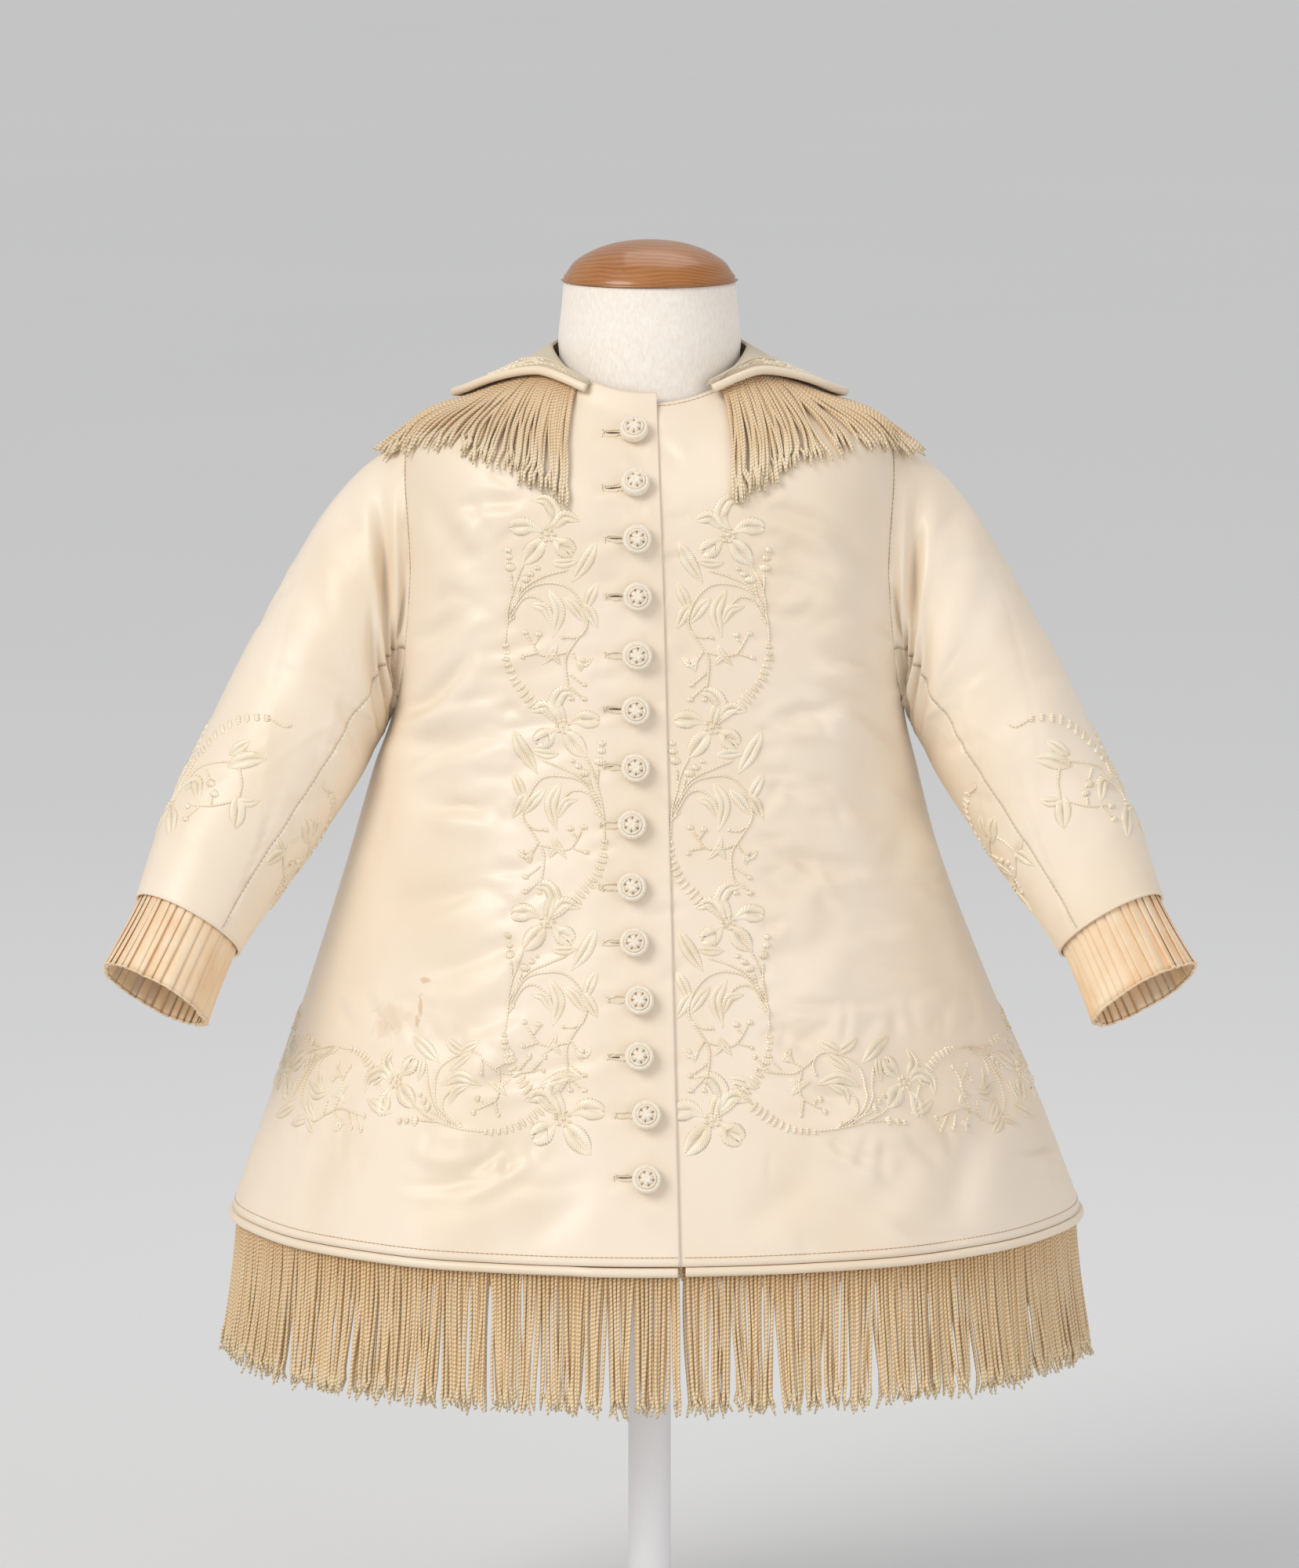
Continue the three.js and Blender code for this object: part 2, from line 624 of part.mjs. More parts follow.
const COLLAR_FRONT = COLLAR_EDGE[0].angle;

function collarAngle(column, columns) {
  return COLLAR_FRONT + (360 - 2 * COLLAR_FRONT) * column / (columns - 1);
}

function collarSurface(turn, share) {
  const angle = turn > 180 ? turn - 360 : turn;
  return collarPoint(angle, share);
}

function collarPlace(turn, share) {
  const inside = THREE.MathUtils.clamp(share, 0.01, 1 - SMALL_STEP);
  const normal = normalAt(collarSurface, turn, inside).multiplyScalar(-1);
  return { point: collarSurface(turn, share), normal };
}

const collarGeometry = wallGeometry(COLLAR_ROWS.length, COLLAR_COLUMNS, (i, j) => {
  return collarPlace(collarAngle(j, COLLAR_COLUMNS), COLLAR_ROWS[i]);
});
addPiece('collar', collarGeometry, COLOURS.satin, 0.42);

// The piping runs along the collar's free edge, a seam's gap beyond it.
const collarPiping = [];
for (let j = 0; j < COLLAR_COLUMNS; j += 1) {
  const turn = collarAngle(j, COLLAR_COLUMNS);
  const edge = collarPlace(turn, 1);
  const ahead = collarSurface(Math.min(turn + 1, 360 - COLLAR_FRONT), 1);
  const behind = collarSurface(Math.max(turn - 1, COLLAR_FRONT), 1);
  const outward = ahead.sub(behind).cross(edge.normal).normalize();
  const point = edge.point.clone().addScaledVector(outward, COLLAR_PIPING_RADIUS + SEAM_GAP);
  collarPiping.push({ point, normal: edge.normal });
}
addPiece('collar_piping', cordGeometry(collarPiping, COLLAR_PIPING_RADIUS, 6), COLOURS.satin, 0.4);

// ---------------------------------------------------------------- hem piping

// Places along a panel's hem that its trimmings follow; the left front's start past the lap.
const HEM_EDGES = PANELS.map(({ name, columns, place }) => {
  const label = name.replace('front_', '');
  const places = Array.from({ length: columns }, (_, j) => place(HEM, j));
  if (label === 'left') {
    places.splice(0, 3, bodyPlace(angleOfX(EDGE_AT_HEM + LAP_CLEAR, HEM), HEM));
  }
  return { label, places };
});

for (const { label, places } of HEM_EDGES) {
  const path = places.map(({ point, normal }) => {
    return { point: point.clone().setZ(HEM - PIPING_RADIUS - SEAM_GAP), normal };
  });
  const last = path.length - 1;
  const inward = path[1].point.clone().sub(path[0].point).normalize();
  const back = path[last - 1].point.clone().sub(path[last].point).normalize();
  path[0].point.addScaledVector(inward, SEAM_GAP);
  path[last].point.addScaledVector(back, SEAM_GAP);
  addPiece(`hem_piping_${label}`, cordGeometry(path, PIPING_RADIUS, 6), COLOURS.satin, 0.4);
}

// ---------------------------------------------------------------- fringes

// A strand's size along its length: small at the root, wide in the middle, less at the tip.
function strandSize(share, wide) {
  if (share < 0.1) {
    return STRAND_SIZE.root;
  }
  return share > 0.9 ? STRAND_SIZE.tip : wide;
}

// A lock of cords: a three-sided strand through places, each with a point, normal and width way.
function strandSolid(places) {
  const stations = places.map(({ point, normal, across, size }) => [
    point.clone().addScaledVector(across, -size * FRINGE_WIDTH / 2),
    point.clone().addScaledVector(across, size * FRINGE_WIDTH / 2),
    point.clone().addScaledVector(normal, FRINGE_DEPTH * size),
  ]);
  return toManifold(loftGeometry(stations));
}

// A flat heading strip through places, from its lower to its upper edge.
function stripSolid(places) {
  const stations = places.map(({ low, high, normal }) => [
    low.clone(),
    high.clone(),
    high.clone().addScaledVector(normal, STRIP_WALL),
    low.clone().addScaledVector(normal, STRIP_WALL),
  ]);
  return toManifold(loftGeometry(stations));
}

function addFringe(name, strip, strands) {
  let solid = stripSolid(strip);
  for (const strand of strands) {
    solid = solid.add(strandSolid(strand));
  }
  addPiece(name, fromManifold(solid), COLOURS.fringe, 0.55);
}

// Hem fringe: its heading hangs just inside the piping, and the locks flare a little.
const STRIP_INSET = PIPING_RADIUS + SEAM_GAP + STRIP_WALL;
for (const { label, places } of HEM_EDGES) {
  const corners = places.map(({ point, normal }) => {
    return { point: point.clone().addScaledVector(normal, -STRIP_INSET), normal };
  });
  const strip = corners.map(({ point, normal }) => ({
    low: point.clone().setZ(HEM - SEAM_GAP - HEM_STRIP_HEIGHT),
    high: point.clone().setZ(HEM - SEAM_GAP),
    normal: normal.clone().setZ(0).normalize(),
  }));
  const lengths = [0];
  for (let j = 1; j < corners.length; j += 1) {
    lengths.push(lengths[j - 1] + corners[j].point.distanceTo(corners[j - 1].point));
  }
  const total = lengths[lengths.length - 1];
  const count = Math.round(total / HEM_FRINGE_SPACING);
  const strands = [];
  for (let k = 0; k < count; k += 1) {
    const run = total * (k + 0.5) / count;
    const j = lengths.findIndex((length) => length >= run);
    const t = (run - lengths[j - 1]) / (lengths[j] - lengths[j - 1]);
    const root = corners[j - 1].point.clone().lerp(corners[j].point, t);
    const across = corners[j].point.clone().sub(corners[j - 1].point).setZ(0).normalize();
    const normal = strip[j - 1].normal.clone().lerp(strip[j].normal, t).normalize();
    const sway = Math.sin(k * 2.3) * 1.1;
    strands.push([0.04, 0.5, 1].map((share) => {
      const point = root.clone().addScaledVector(normal, 0.15 + HEM_FRINGE_FLARE * share ** 1.5);
      point.addScaledVector(across, sway * share ** 2);
      point.z = HEM - FRINGE_UNEVEN - (HEM_FRINGE_LENGTH + Math.sin(k * 1.7) * FRINGE_UNEVEN) * share;
      return { point, normal, across, size: strandSize(share, STRAND_SIZE.hem) };
    }));
  }
  addFringe(`fringe_hem_${label}`, strip, strands);
}

// Collar fringe: each lock runs from under the piping straight down the slope of the body,
// and where it crosses the armhole it goes on down the sleeve.
function insideArmhole(angle, at) {
  const half = Math.abs(angle) < 90 ? ARMHOLE_HALF_ANGLE.front : ARMHOLE_HALF_ANGLE.back;
  return Math.abs(Math.abs(angle) - 90) < armholeAngle(at, half);
}

function slideDown(surface, u, v, length) {
  const du = surface(u + SMALL_STEP, v).sub(surface(u, v)).divideScalar(SMALL_STEP);
  const dv = surface(u, v + SMALL_STEP).sub(surface(u, v)).divideScalar(SMALL_STEP);
  const normal = du.clone().cross(dv).normalize();
  const down = new THREE.Vector3(0, 0, -1).addScaledVector(normal, normal.z).normalize();
  const [a, b, c] = [du.dot(du), du.dot(dv), dv.dot(dv)];
  const [p, q] = [du.dot(down), dv.dot(down)];
  const scale = length / (a * c - b * b);
  return [u + scale * (c * p - b * q), v + scale * (a * q - b * p)];
}

// The heading strip lies just under the collar's piping.
function stripLift(angle) {
  return collarEdge(angle).lift - COLLAR_PIPING_RADIUS - SEAM_GAP - STRIP_WALL - COLLAR_STRIP_DROP;
}

const FRINGE_STEPS = 3;
const FRINGE_SUBSTEPS = 6;

function collarStrand(angle, index) {
  const side = Math.sign(angle);
  const { front, shoulder } = COLLAR_FRINGE_LENGTH;
  const uneven = Math.sin(index * 1.9) * FRINGE_UNEVEN;
  const length = front + (shoulder - front) * smooth(50, 95, Math.abs(angle)) + uneven;
  const stepLength = length / FRINGE_STEPS / FRINGE_SUBSTEPS;
  const places = [];
  let [u, v] = [angle, Math.min(collarEdge(angle).at + 3.5, NECKLINE - 1)];
  let onSleeve = false;
  for (let step = 0; step <= FRINGE_STEPS * FRINGE_SUBSTEPS; step += 1) {
    if (step % FRINGE_SUBSTEPS === 0) {
      const share = step / FRINGE_STEPS / FRINGE_SUBSTEPS;
      const low = FACE + (onSleeve ? FRINGE_LOW.sleeve : FRINGE_LOW.body);
      const lift = THREE.MathUtils.lerp(stripLift(angle) + 0.1, low, smooth(0, 0.5, share));
      places.push({ ...(onSleeve ? sleevePlace(side, v, u, lift) : bodyPlace(u, v, lift)), share });
    }
    const surface = onSleeve ? (a, b) => sleevePoint(side, b, a) : bodyPoint;
    [u, v] = slideDown(surface, u, v, stepLength);
    if (!onSleeve && insideArmhole(u, v)) {
      onSleeve = true;
      const rise = THREE.MathUtils.clamp((v - ARMHOLE_AT) / ARMHOLE_REACH, -1, 1);
      u = Math.sign(90 - Math.abs(u)) * Math.acos(rise) * 180 / Math.PI;
      v = 0.12;
    }
  }
  return places.map((place, i) => {
    const before = places[Math.max(i - 1, 0)].point;
    const after = places[Math.min(i + 1, places.length - 1)].point;
    const across = after.clone().sub(before).cross(place.normal).normalize();
    return { ...place, across, size: strandSize(place.share, STRAND_SIZE.collar) };
  });
}

const STRIP_ANGLE = 44;
const collarStrip = [];
for (let j = 0; j < COLLAR_COLUMNS; j += 1) {
  const turn = STRIP_ANGLE + (360 - 2 * STRIP_ANGLE) * j / (COLLAR_COLUMNS - 1);
  const angle = turn > 180 ? turn - 360 : turn;
  const { at } = collarEdge(angle);
  const low = bodyPlace(angle, at + 1, stripLift(angle));
  const high = bodyPlace(angle, Math.min(at + COLLAR_STRIP_HEIGHT, NECKLINE - 0.5), stripLift(angle));
  collarStrip.push({ low: low.point, high: high.point, normal: low.normal });
}
const collarStrands = [];
for (let k = 0; k < COLLAR_FRINGE_STRANDS; k += 1) {
  const turn = STRIP_ANGLE + 1.5 + (357 - 2 * STRIP_ANGLE) * k / (COLLAR_FRINGE_STRANDS - 1);
  collarStrands.push(collarStrand(turn > 180 ? turn - 360 : turn, k));
}
addFringe('fringe_collar', collarStrip, collarStrands);

// ---------------------------------------------------------------- buttons

// A crocheted ball button on its place: flat back, full side, sunk crown and a knob.
const BUTTON_PROFILE = [
  { radius: 0.72, height: 0 },
  { radius: 1, height: 0.42 },
  { radius: 0.72, height: 0.78 },
  { radius: 0.3, height: 0.94 },
];

function buttonGeometry({ point, normal }) {
  const across = new THREE.Vector3(1, 0, 0).cross(normal).normalize();
  const up = normal.clone().cross(across);
  return loftGeometry(BUTTON_PROFILE.map(({ radius, height }) => {
    return Array.from({ length: BUTTON_SIDES }, (_, side) => {
      const angle = 2 * Math.PI * side / BUTTON_SIDES;
      return point.clone().addScaledVector(normal, height * BUTTON_RADIUS)
        .addScaledVector(across, radius * BUTTON_RADIUS * Math.cos(angle))
        .addScaledVector(up, radius * BUTTON_RADIUS * Math.sin(angle));
    });
  }));
}

BUTTONS.forEach(({ x, z }, index) => {
  let at = z;
  for (let step = 0; step < SEARCH_STEPS; step += 1) {
    at += z - bodyPoint(angleOfX(x, at), at).z;
  }
  const place = bodyPlace(angleOfX(x, at), at, OVERLAP_LIFT + FACE + BUTTON_GAP);
  const name = `button_${String(index + 1).padStart(2, '0')}`;
  addPiece(name, buttonGeometry(place), COLOURS.crochet, 0.6);
});

// ---------------------------------------------------------------- dress form and stand

const formRings = [];
for (const { z, side, deep } of FORM_ROWS) {
  formRings.push((angle) => new THREE.Vector3(side * Math.sin(angle), -deep * Math.cos(angle), z));
}
for (const { at, inset } of FORM_STATIONS) {
  formRings.push((angle) => {
    const degrees = angle * 180 / Math.PI;
    return bodyPlace(degrees > 180 ? degrees - 360 : degrees, at, -FACE - FORM_GAP - inset).point;
  });
}
formRings.push((angle) => {
  const rim = bodyPoint(angle * 180 / Math.PI, NECKLINE).z - NECK_BASE_DROP;
  return new THREE.Vector3(NECK_BASE * Math.sin(angle), -NECK_BASE * Math.cos(angle), rim);
});
for (const { z, radius } of NECK_ROWS) {
  formRings.push((angle) => new THREE.Vector3(radius * Math.sin(angle), -radius * Math.cos(angle), z));
}
const formStations = formRings.map((ring) => {
  return Array.from({ length: FORM_SIDES }, (_, j) => ring(2 * Math.PI * (j + 0.5) / FORM_SIDES));
});
addPiece('form_torso', loftGeometry(formStations), COLOURS.jersey, 0.8);

const formTop = NECK_ROWS[NECK_ROWS.length - 1].z;
const capProfile = [
  new THREE.Vector2(0, 0),
  new THREE.Vector2(CAP_RADIUS - 1, 0),
  new THREE.Vector2(CAP_RADIUS, CAP_EDGE),
  new THREE.Vector2(CAP_RADIUS * 0.8, CAP_HEIGHT * 0.62),
  new THREE.Vector2(CAP_RADIUS * 0.42, CAP_HEIGHT * 0.93),
  new THREE.Vector2(0, CAP_HEIGHT),
];
const cap = addPiece('form_cap', new THREE.LatheGeometry(capProfile, FORM_SIDES), COLOURS.wood, 0.45);
cap.rotation.x = Math.PI / 2;
cap.position.z = formTop + SEAM_GAP;

const poleBottom = BASE_HEIGHT + SEAM_GAP;
const poleTop = FORM_ROWS[0].z - SEAM_GAP;
const poleShape = new THREE.CylinderGeometry(POLE_RADIUS, POLE_RADIUS, poleTop - poleBottom, 16);
const pole = addPiece('pole', poleShape, COLOURS.paint, 0.4, 0.4);
pole.rotation.x = Math.PI / 2;
pole.position.z = (poleTop + poleBottom) / 2;

const baseProfile = [
  new THREE.Vector2(0, 0),
  new THREE.Vector2(BASE_RADIUS, 0),
  new THREE.Vector2(BASE_RADIUS, BASE_HEIGHT - 3),
  new THREE.Vector2(BASE_RADIUS - 3, BASE_HEIGHT),
  new THREE.Vector2(0, BASE_HEIGHT),
];
const base = addPiece('base', new THREE.LatheGeometry(baseProfile, 32), COLOURS.paint, 0.4, 0.4);
base.rotation.x = Math.PI / 2;

export default coat;
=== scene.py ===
"""Looks of a child's fringed silk-satin coat on its dress form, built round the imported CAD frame.

Everything is worked out in millimetres on three surfaces, the body, the two sleeves and the
collar, and turned to metres when a mesh is made. -Y is the coat's front, +X the wearer's left.
"""
import logging
import math
from collections.abc import Callable, Sequence
from dataclasses import dataclass, field
from enum import Enum

import bpy
import numpy as np
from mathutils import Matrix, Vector


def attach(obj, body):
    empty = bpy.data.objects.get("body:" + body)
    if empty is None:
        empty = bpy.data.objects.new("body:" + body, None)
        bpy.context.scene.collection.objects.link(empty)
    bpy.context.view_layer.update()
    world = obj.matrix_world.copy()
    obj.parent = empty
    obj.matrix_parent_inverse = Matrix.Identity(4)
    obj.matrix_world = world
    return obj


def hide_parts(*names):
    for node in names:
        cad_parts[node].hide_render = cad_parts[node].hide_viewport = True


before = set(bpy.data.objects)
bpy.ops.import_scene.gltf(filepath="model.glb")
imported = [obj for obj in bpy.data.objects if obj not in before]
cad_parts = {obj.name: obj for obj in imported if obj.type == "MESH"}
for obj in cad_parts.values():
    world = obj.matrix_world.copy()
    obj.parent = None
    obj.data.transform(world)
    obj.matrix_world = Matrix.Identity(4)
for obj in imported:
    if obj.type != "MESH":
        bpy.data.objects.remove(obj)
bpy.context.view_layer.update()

LOG = logging.getLogger("fringed_coat")
Array = np.ndarray
Place = Callable[[Array, Array, Array], Array]
Object = bpy.types.Object
Material = bpy.types.Material
Socket = bpy.types.NodeSocket
METRES = 0.001
BODY = "root"
STEP = 1e-3

# ---- shared sizes, in millimetres; most are those of the coat's solids
HEM = 252.5
UNDERARM = 512.0
SHOULDER_TIP = 646.0
NECKLINE = 726.0
ARMHOLE_AT = (SHOULDER_TIP + UNDERARM) / 2
ARMHOLE_REACH = (SHOULDER_TIP - UNDERARM) / 2
ARMHOLE_FRONT = 18.5
ARMHOLE_BACK = 19.5
FACE = 0.8
SEAM_GAP = 0.3
SATIN_WALL = 1.1
OVERLAP_LIFT = 2.0
LAP_LIFT = 1.2
NECK_STEP = 4.5
EDGE_AT_NECK = 3.5
EDGE_AT_HEM = 15.2
UNDERLAP_EDGE = -25.0
LAP_STARTS = -42.0
PIPING_RADIUS = 2.4
COLLAR_PIPING_RADIUS = 2.2
HEADING_INSET = PIPING_RADIUS + SEAM_GAP + 1.3
PIPING_SIDES = 14
CORD_SIDES = 5
STRIP_WALL = 0.8
STRIP_DROP = 1.9
CREASE_GAIN = 1.5
SEAM_INSET = 0.06
SEAM_FADE = 4.0
HEM_FADE = 12.0
SIDE_BLEND = 30.0
SLEEVE_END = 9.0
STATION_LENGTH = 30.0
# Embroidery is drawn flat: millimetres to a degree of turn round a sleeve's end and the collar.
SLEEVE_ARC = 0.6
COLLAR_ARC = 0.9
# turn, height over the sleeve's end and scale of each spray
SPRAYS = ((14.0, 46.0, 1.4), (186.0, 38.0, 1.15))
COLLAR_MIDDLE = 21
BUTTON_RADIUS = 7.3
BUTTONS = (
    (-7.7, 656.5), (-7.2, 631.9), (-6.0, 607.5), (-5.8, 578.9), (-6.0, 549.7), (-6.7, 522.4), (-6.8, 493.8),
    (-8.5, 465.8), (-8.6, 435.4), (-7.4, 408.5), (-4.9, 380.5), (-4.9, 353.4), (-1.4, 325.2), (-1.4, 294.3),
)


class Side(Enum):
    """Which of two like pieces, by the sign of its x."""

    RIGHT = -1
    LEFT = 1

    @property
    def label(self) -> str:
        """The side's name as the nodes have it."""
        return self.name.lower()


# ---------------------------------------------------------------- small tools


def smooth(low: float, high: float, value: Array | float) -> Array:
    """Eases from 0 at low to 1 at high."""
    share = np.clip((np.asarray(value, float) - low) / (high - low), 0, 1)
    return share * share * (3 - 2 * share)


def unit(vectors: Array) -> Array:
    """The vectors at length one, along the last axis."""
    return vectors / np.maximum(np.linalg.norm(vectors, axis=-1, keepdims=True), 1e-9)


def xyz(x: Array, y: Array, z: Array) -> Array:
    """Three coordinate arrays as points, on the last axis."""
    return np.stack(np.broadcast_arrays(x, y, z), axis=-1).astype(float)


def dot(a: Array, b: Array) -> Array:
    """Dot product along the last axis, kept as an axis of one."""
    return np.sum(a * b, axis=-1, keepdims=True)


def lap_share(x: Array) -> Array:
    """How far the right front has risen over the left's underlap at an x, from 0 to 1."""
    return smooth(LAP_STARTS, UNDERLAP_EDGE - 1, x)


def signed(turn: Array) -> Array:
    """Turns from 0 to 360 degrees as angles from -180 to 180."""
    return np.where(turn > 180, turn - 360, turn)


def run_along(points: Array) -> Array:
    """Length run to each point of a line from its first."""
    return np.concatenate([[0], np.cumsum(np.linalg.norm(np.diff(points, axis=0), axis=1))])


def respaced(count: int, points: Array, *others: Array) -> list[Array]:
    """Places spread evenly along a line through points.

    Args:
        count: How many places.
        points: The line's points.
        others: Vectors at the same points.

    Returns:
        The places, and the other vectors at them.
    """
    run = run_along(points)
    wanted = np.linspace(0, run[-1], count)
    return [np.stack([np.interp(wanted, run, column) for column in a.T], axis=1) for a in (points, *others)]


def curve_points(knots: Sequence[Sequence[float]], count: int) -> Array:
    """Points spread evenly along a smooth curve through a few knots.

    Args:
        knots: The points that the curve passes through, in any number of dimensions.
        count: How many points to return.

    Returns:
        An array of count points.
    """
    knots_array = np.asarray(knots, float)
    padded = np.concatenate([2 * knots_array[:1] - knots_array[1:2], knots_array,
                             2 * knots_array[-1:] - knots_array[-2:-1]])
    fine = []
    for index in range(len(knots_array) - 1):
        p0, p1, p2, p3 = padded[index:index + 4]
        t = np.linspace(0, 1, 24, endpoint=index == len(knots_array) - 2)[:, None]
        fine.append(0.5 * (2 * p1 + (p2 - p0) * t + (2 * p0 - 5 * p1 + 4 * p2 - p3) * t ** 2
                           + (3 * p1 - p0 - 3 * p2 + p3) * t ** 3))
    return respaced(count, np.concatenate(fine))[0]


def path_length(points: Array) -> float:
    """Length of a line through points."""
    return float(np.linalg.norm(np.diff(points, axis=0), axis=1).sum())


@dataclass(frozen=True)
class SizeTable:
    """Rows of sizes along a key, read between the rows on a smooth curve. The key is column 0."""

    rows: tuple[tuple[float, ...], ...]

    def at(self, place: Array | float) -> Array:
        """Reads every column at a place.

        Args:
            place: Key values, of any shape.

        Returns:
            An array with one more axis, which holds the columns.
        """
        rows = np.asarray(self.rows, float)
        keys = rows[:, 0]
        place = np.asarray(place, float)
        low = np.searchsorted(keys[1:-1], place, side="left")
        last = len(keys) - 1
        span = keys[low + 1] - keys[low]
        t = np.clip((place - keys[low]) / span, 0, 1)[..., None]

        def slope(index: Array) -> Array:
            before, after = np.maximum(index - 1, 0), np.minimum(index + 1, last)
            return (rows[after] - rows[before]) / (keys[after] - keys[before])[..., None] * span[..., None]

        return (rows[low] * (1 + 2 * t) * (1 - t) ** 2 + rows[low + 1] * (3 - 2 * t) * t ** 2
                + slope(low) * t * (1 - t) ** 2 - slope(low + 1) * (1 - t) * t ** 2)


# ---------------------------------------------------------------- meshes


@dataclass
class MeshParts:
    """Points, faces and point values of one piece, gathered before its mesh is made."""

    points: list[Array] = field(default_factory=list)
    faces: list[Array] = field(default_factory=list)
    values: dict[str, list[Array]] = field(default_factory=dict)
    count: int = 0

    def add(self, points: Array, faces: Sequence[Array], **values: Array) -> None:
        """Adds points and the faces between them.

        Args:
            points: Points in millimetres, shaped (..., 3).
            faces: Arrays of corner indices into these points, one row a face.
            values: Named vectors of three numbers for each point.
        """
        flat = points.reshape(-1, 3)
        self.points.append(flat)
        self.faces.extend(np.asarray(f, int) + self.count for f in faces if len(f))
        for name, value in values.items():
            self.values.setdefault(name, []).append(np.asarray(value, float).reshape(-1, 3))
        self.count += len(flat)

    def build(self, name: str, material: Material) -> Object:
        """Makes the mesh object.

        Args:
            name: The piece's name.
            material: Its only material.

        Returns:
            The object, linked to the scene and shaded smooth but for its rims.
        """
        mesh = bpy.data.meshes.new(name)
        corners = np.concatenate([f.ravel() for f in self.faces])
        sizes = np.concatenate([np.full(len(f), f.shape[1]) for f in self.faces])
        starts = np.concatenate([[0], np.cumsum(sizes)[:-1]])
        mesh.vertices.add(self.count)
        mesh.vertices.foreach_set("co", (np.concatenate(self.points) * METRES).astype(np.float32).ravel())
        mesh.loops.add(len(corners))
        mesh.loops.foreach_set("vertex_index", corners.astype(np.int32))
        mesh.polygons.add(len(sizes))
        mesh.polygons.foreach_set("loop_start", starts.astype(np.int32))
        # Only a sheet's rim is made of triangles; flat, it leaves a crisp edge.
        mesh.polygons.foreach_set("use_smooth", sizes != 3)
        mesh.update(calc_edges=True)
        for key, value in self.values.items():
            attribute = mesh.attributes.new(key, "FLOAT_VECTOR", "POINT")
            attribute.data.foreach_set("vector", np.concatenate(value).astype(np.float32).ravel())
        mesh.materials.append(material)
        piece = bpy.data.objects.new(name, mesh)
        bpy.context.scene.collection.objects.link(piece)
        return piece


def grid_quads(rows: int, columns: int, wrap: bool = False) -> Array:
    """Corner indices of a grid's quads.

    Args:
        rows: Points along the first axis.
        columns: Points along the second axis.
        wrap: Whether the last column joins the first.

    Returns:
        An array of four indices a quad.
    """
    i, j = np.meshgrid(np.arange(rows - 1), np.arange(columns if wrap else columns - 1), indexing="ij")
    after = (j + 1) % columns
    return np.stack([i * columns + j, i * columns + after, (i + 1) * columns + after, (i + 1) * columns + j],
                    axis=-1).reshape(-1, 4)


def closed_faces(rows: int, sides: int) -> list[Array]:
    """Corner indices of a closed tube: its quads, its first end and its last."""
    around = np.arange(sides)[None]
    return [grid_quads(rows, sides, wrap=True), around[:, ::-1], around + (rows - 1) * sides]


def rim_of(rows: int, columns: int) -> Array:
    """Indices round a grid's border, from its first corner and back to it."""
    last = (rows - 1) * columns
    return np.concatenate([np.arange(columns), np.arange(1, rows) * columns + columns - 1,
                           np.arange(columns - 2, -1, -1) + last, np.arange(rows - 2, -1, -1) * columns])


def add_shell(parts: MeshParts, middle: Array, normal: Array, wall: float) -> None:
    """Adds a closed sheet of cloth whose inner face has half the outer face's grid lines.

    Args:
        parts: The piece to add to.
        middle: The sheet's middle, an odd grid of points.
        normal: Its outward normals.
        wall: The cloth's thickness.
    """
    rows, columns = middle.shape[:2]
    outer = middle + normal * wall / 2
    inner = (middle - normal * wall / 2)[::2, ::2]
    few_rows, few_columns = inner.shape[:2]
    outer_quads = grid_quads(rows, columns)
    inner_quads = grid_quads(few_rows, few_columns)[:, ::-1] + rows * columns
    fine = rim_of(rows, columns)
    coarse = rim_of(few_rows, few_columns) + rows * columns
    f0, f1, f2, c0, c1 = fine[:-1:2], fine[1::2], fine[2::2], coarse[:-1], coarse[1:]
    rim = np.concatenate([np.stack(t, 1) for t in ((f1, f0, c0), (f2, f1, c1), (f1, c0, c1))])
    points = np.concatenate([outer.reshape(-1, 3), inner.reshape(-1, 3)])
    a, b, c = (outer.reshape(-1, 3)[outer_quads[:, k]] for k in range(3))
    facing = np.sum(np.cross(b - a, c - a) * normal.reshape(-1, 3)[outer_quads[:, 0]])
    faces = [outer_quads, inner_quads, rim]
    parts.add(points, faces if facing > 0 else [f[:, ::-1] for f in faces])


def add_tubes(parts: MeshParts, path: Array, normal: Array, radius: Array, sides: int,
              chance: Array | None = None) -> None:
    """Adds round cords, each closed by flat ends.

    Args:
        parts: The piece to add to.
        path: Centre lines, shaped (cords, points, 3).
        normal: A direction across each line, of the same shape. The section's seam lies behind it.
        radius: Radius at each point, or one for all.
        sides: Sides of the section.
        chance: A random number from 0 to 1 for each cord.
    """
    cords, count = path.shape[:2]
    tangent = unit(np.gradient(path, axis=1))
    across = unit(np.cross(tangent, normal))
    up = np.cross(across, tangent)
    turn = 2 * math.pi * np.arange(sides) / sides - math.pi / 2
    size = np.broadcast_to(np.asarray(radius, float), (cords, count))[:, :, None, None]
    ring = (path[:, :, None] + size * (across[:, :, None] * np.cos(turn)[:, None]
                                       + up[:, :, None] * np.sin(turn)[:, None]))
    quads = grid_quads(count, sides, wrap=True)
    ends = np.stack([np.arange(sides), np.arange(sides)[::-1] + (count - 1) * sides])
    start = (np.arange(cords) * count * sides)[:, None, None]
    steps = np.linalg.norm(np.diff(path, axis=1), axis=2)
    run = np.concatenate([np.zeros((cords, 1)), np.cumsum(steps, axis=1)], axis=1)
    chances = np.zeros(cords) if chance is None else chance
    strand = xyz((np.arange(sides) / sides)[None, None, :], run[:, :, None], chances[:, None, None])
    faces = [(quads + start).reshape(-1, 4)[:, ::-1], (ends + start).reshape(-1, sides)]
    parts.add(ring, faces, strand=strand)


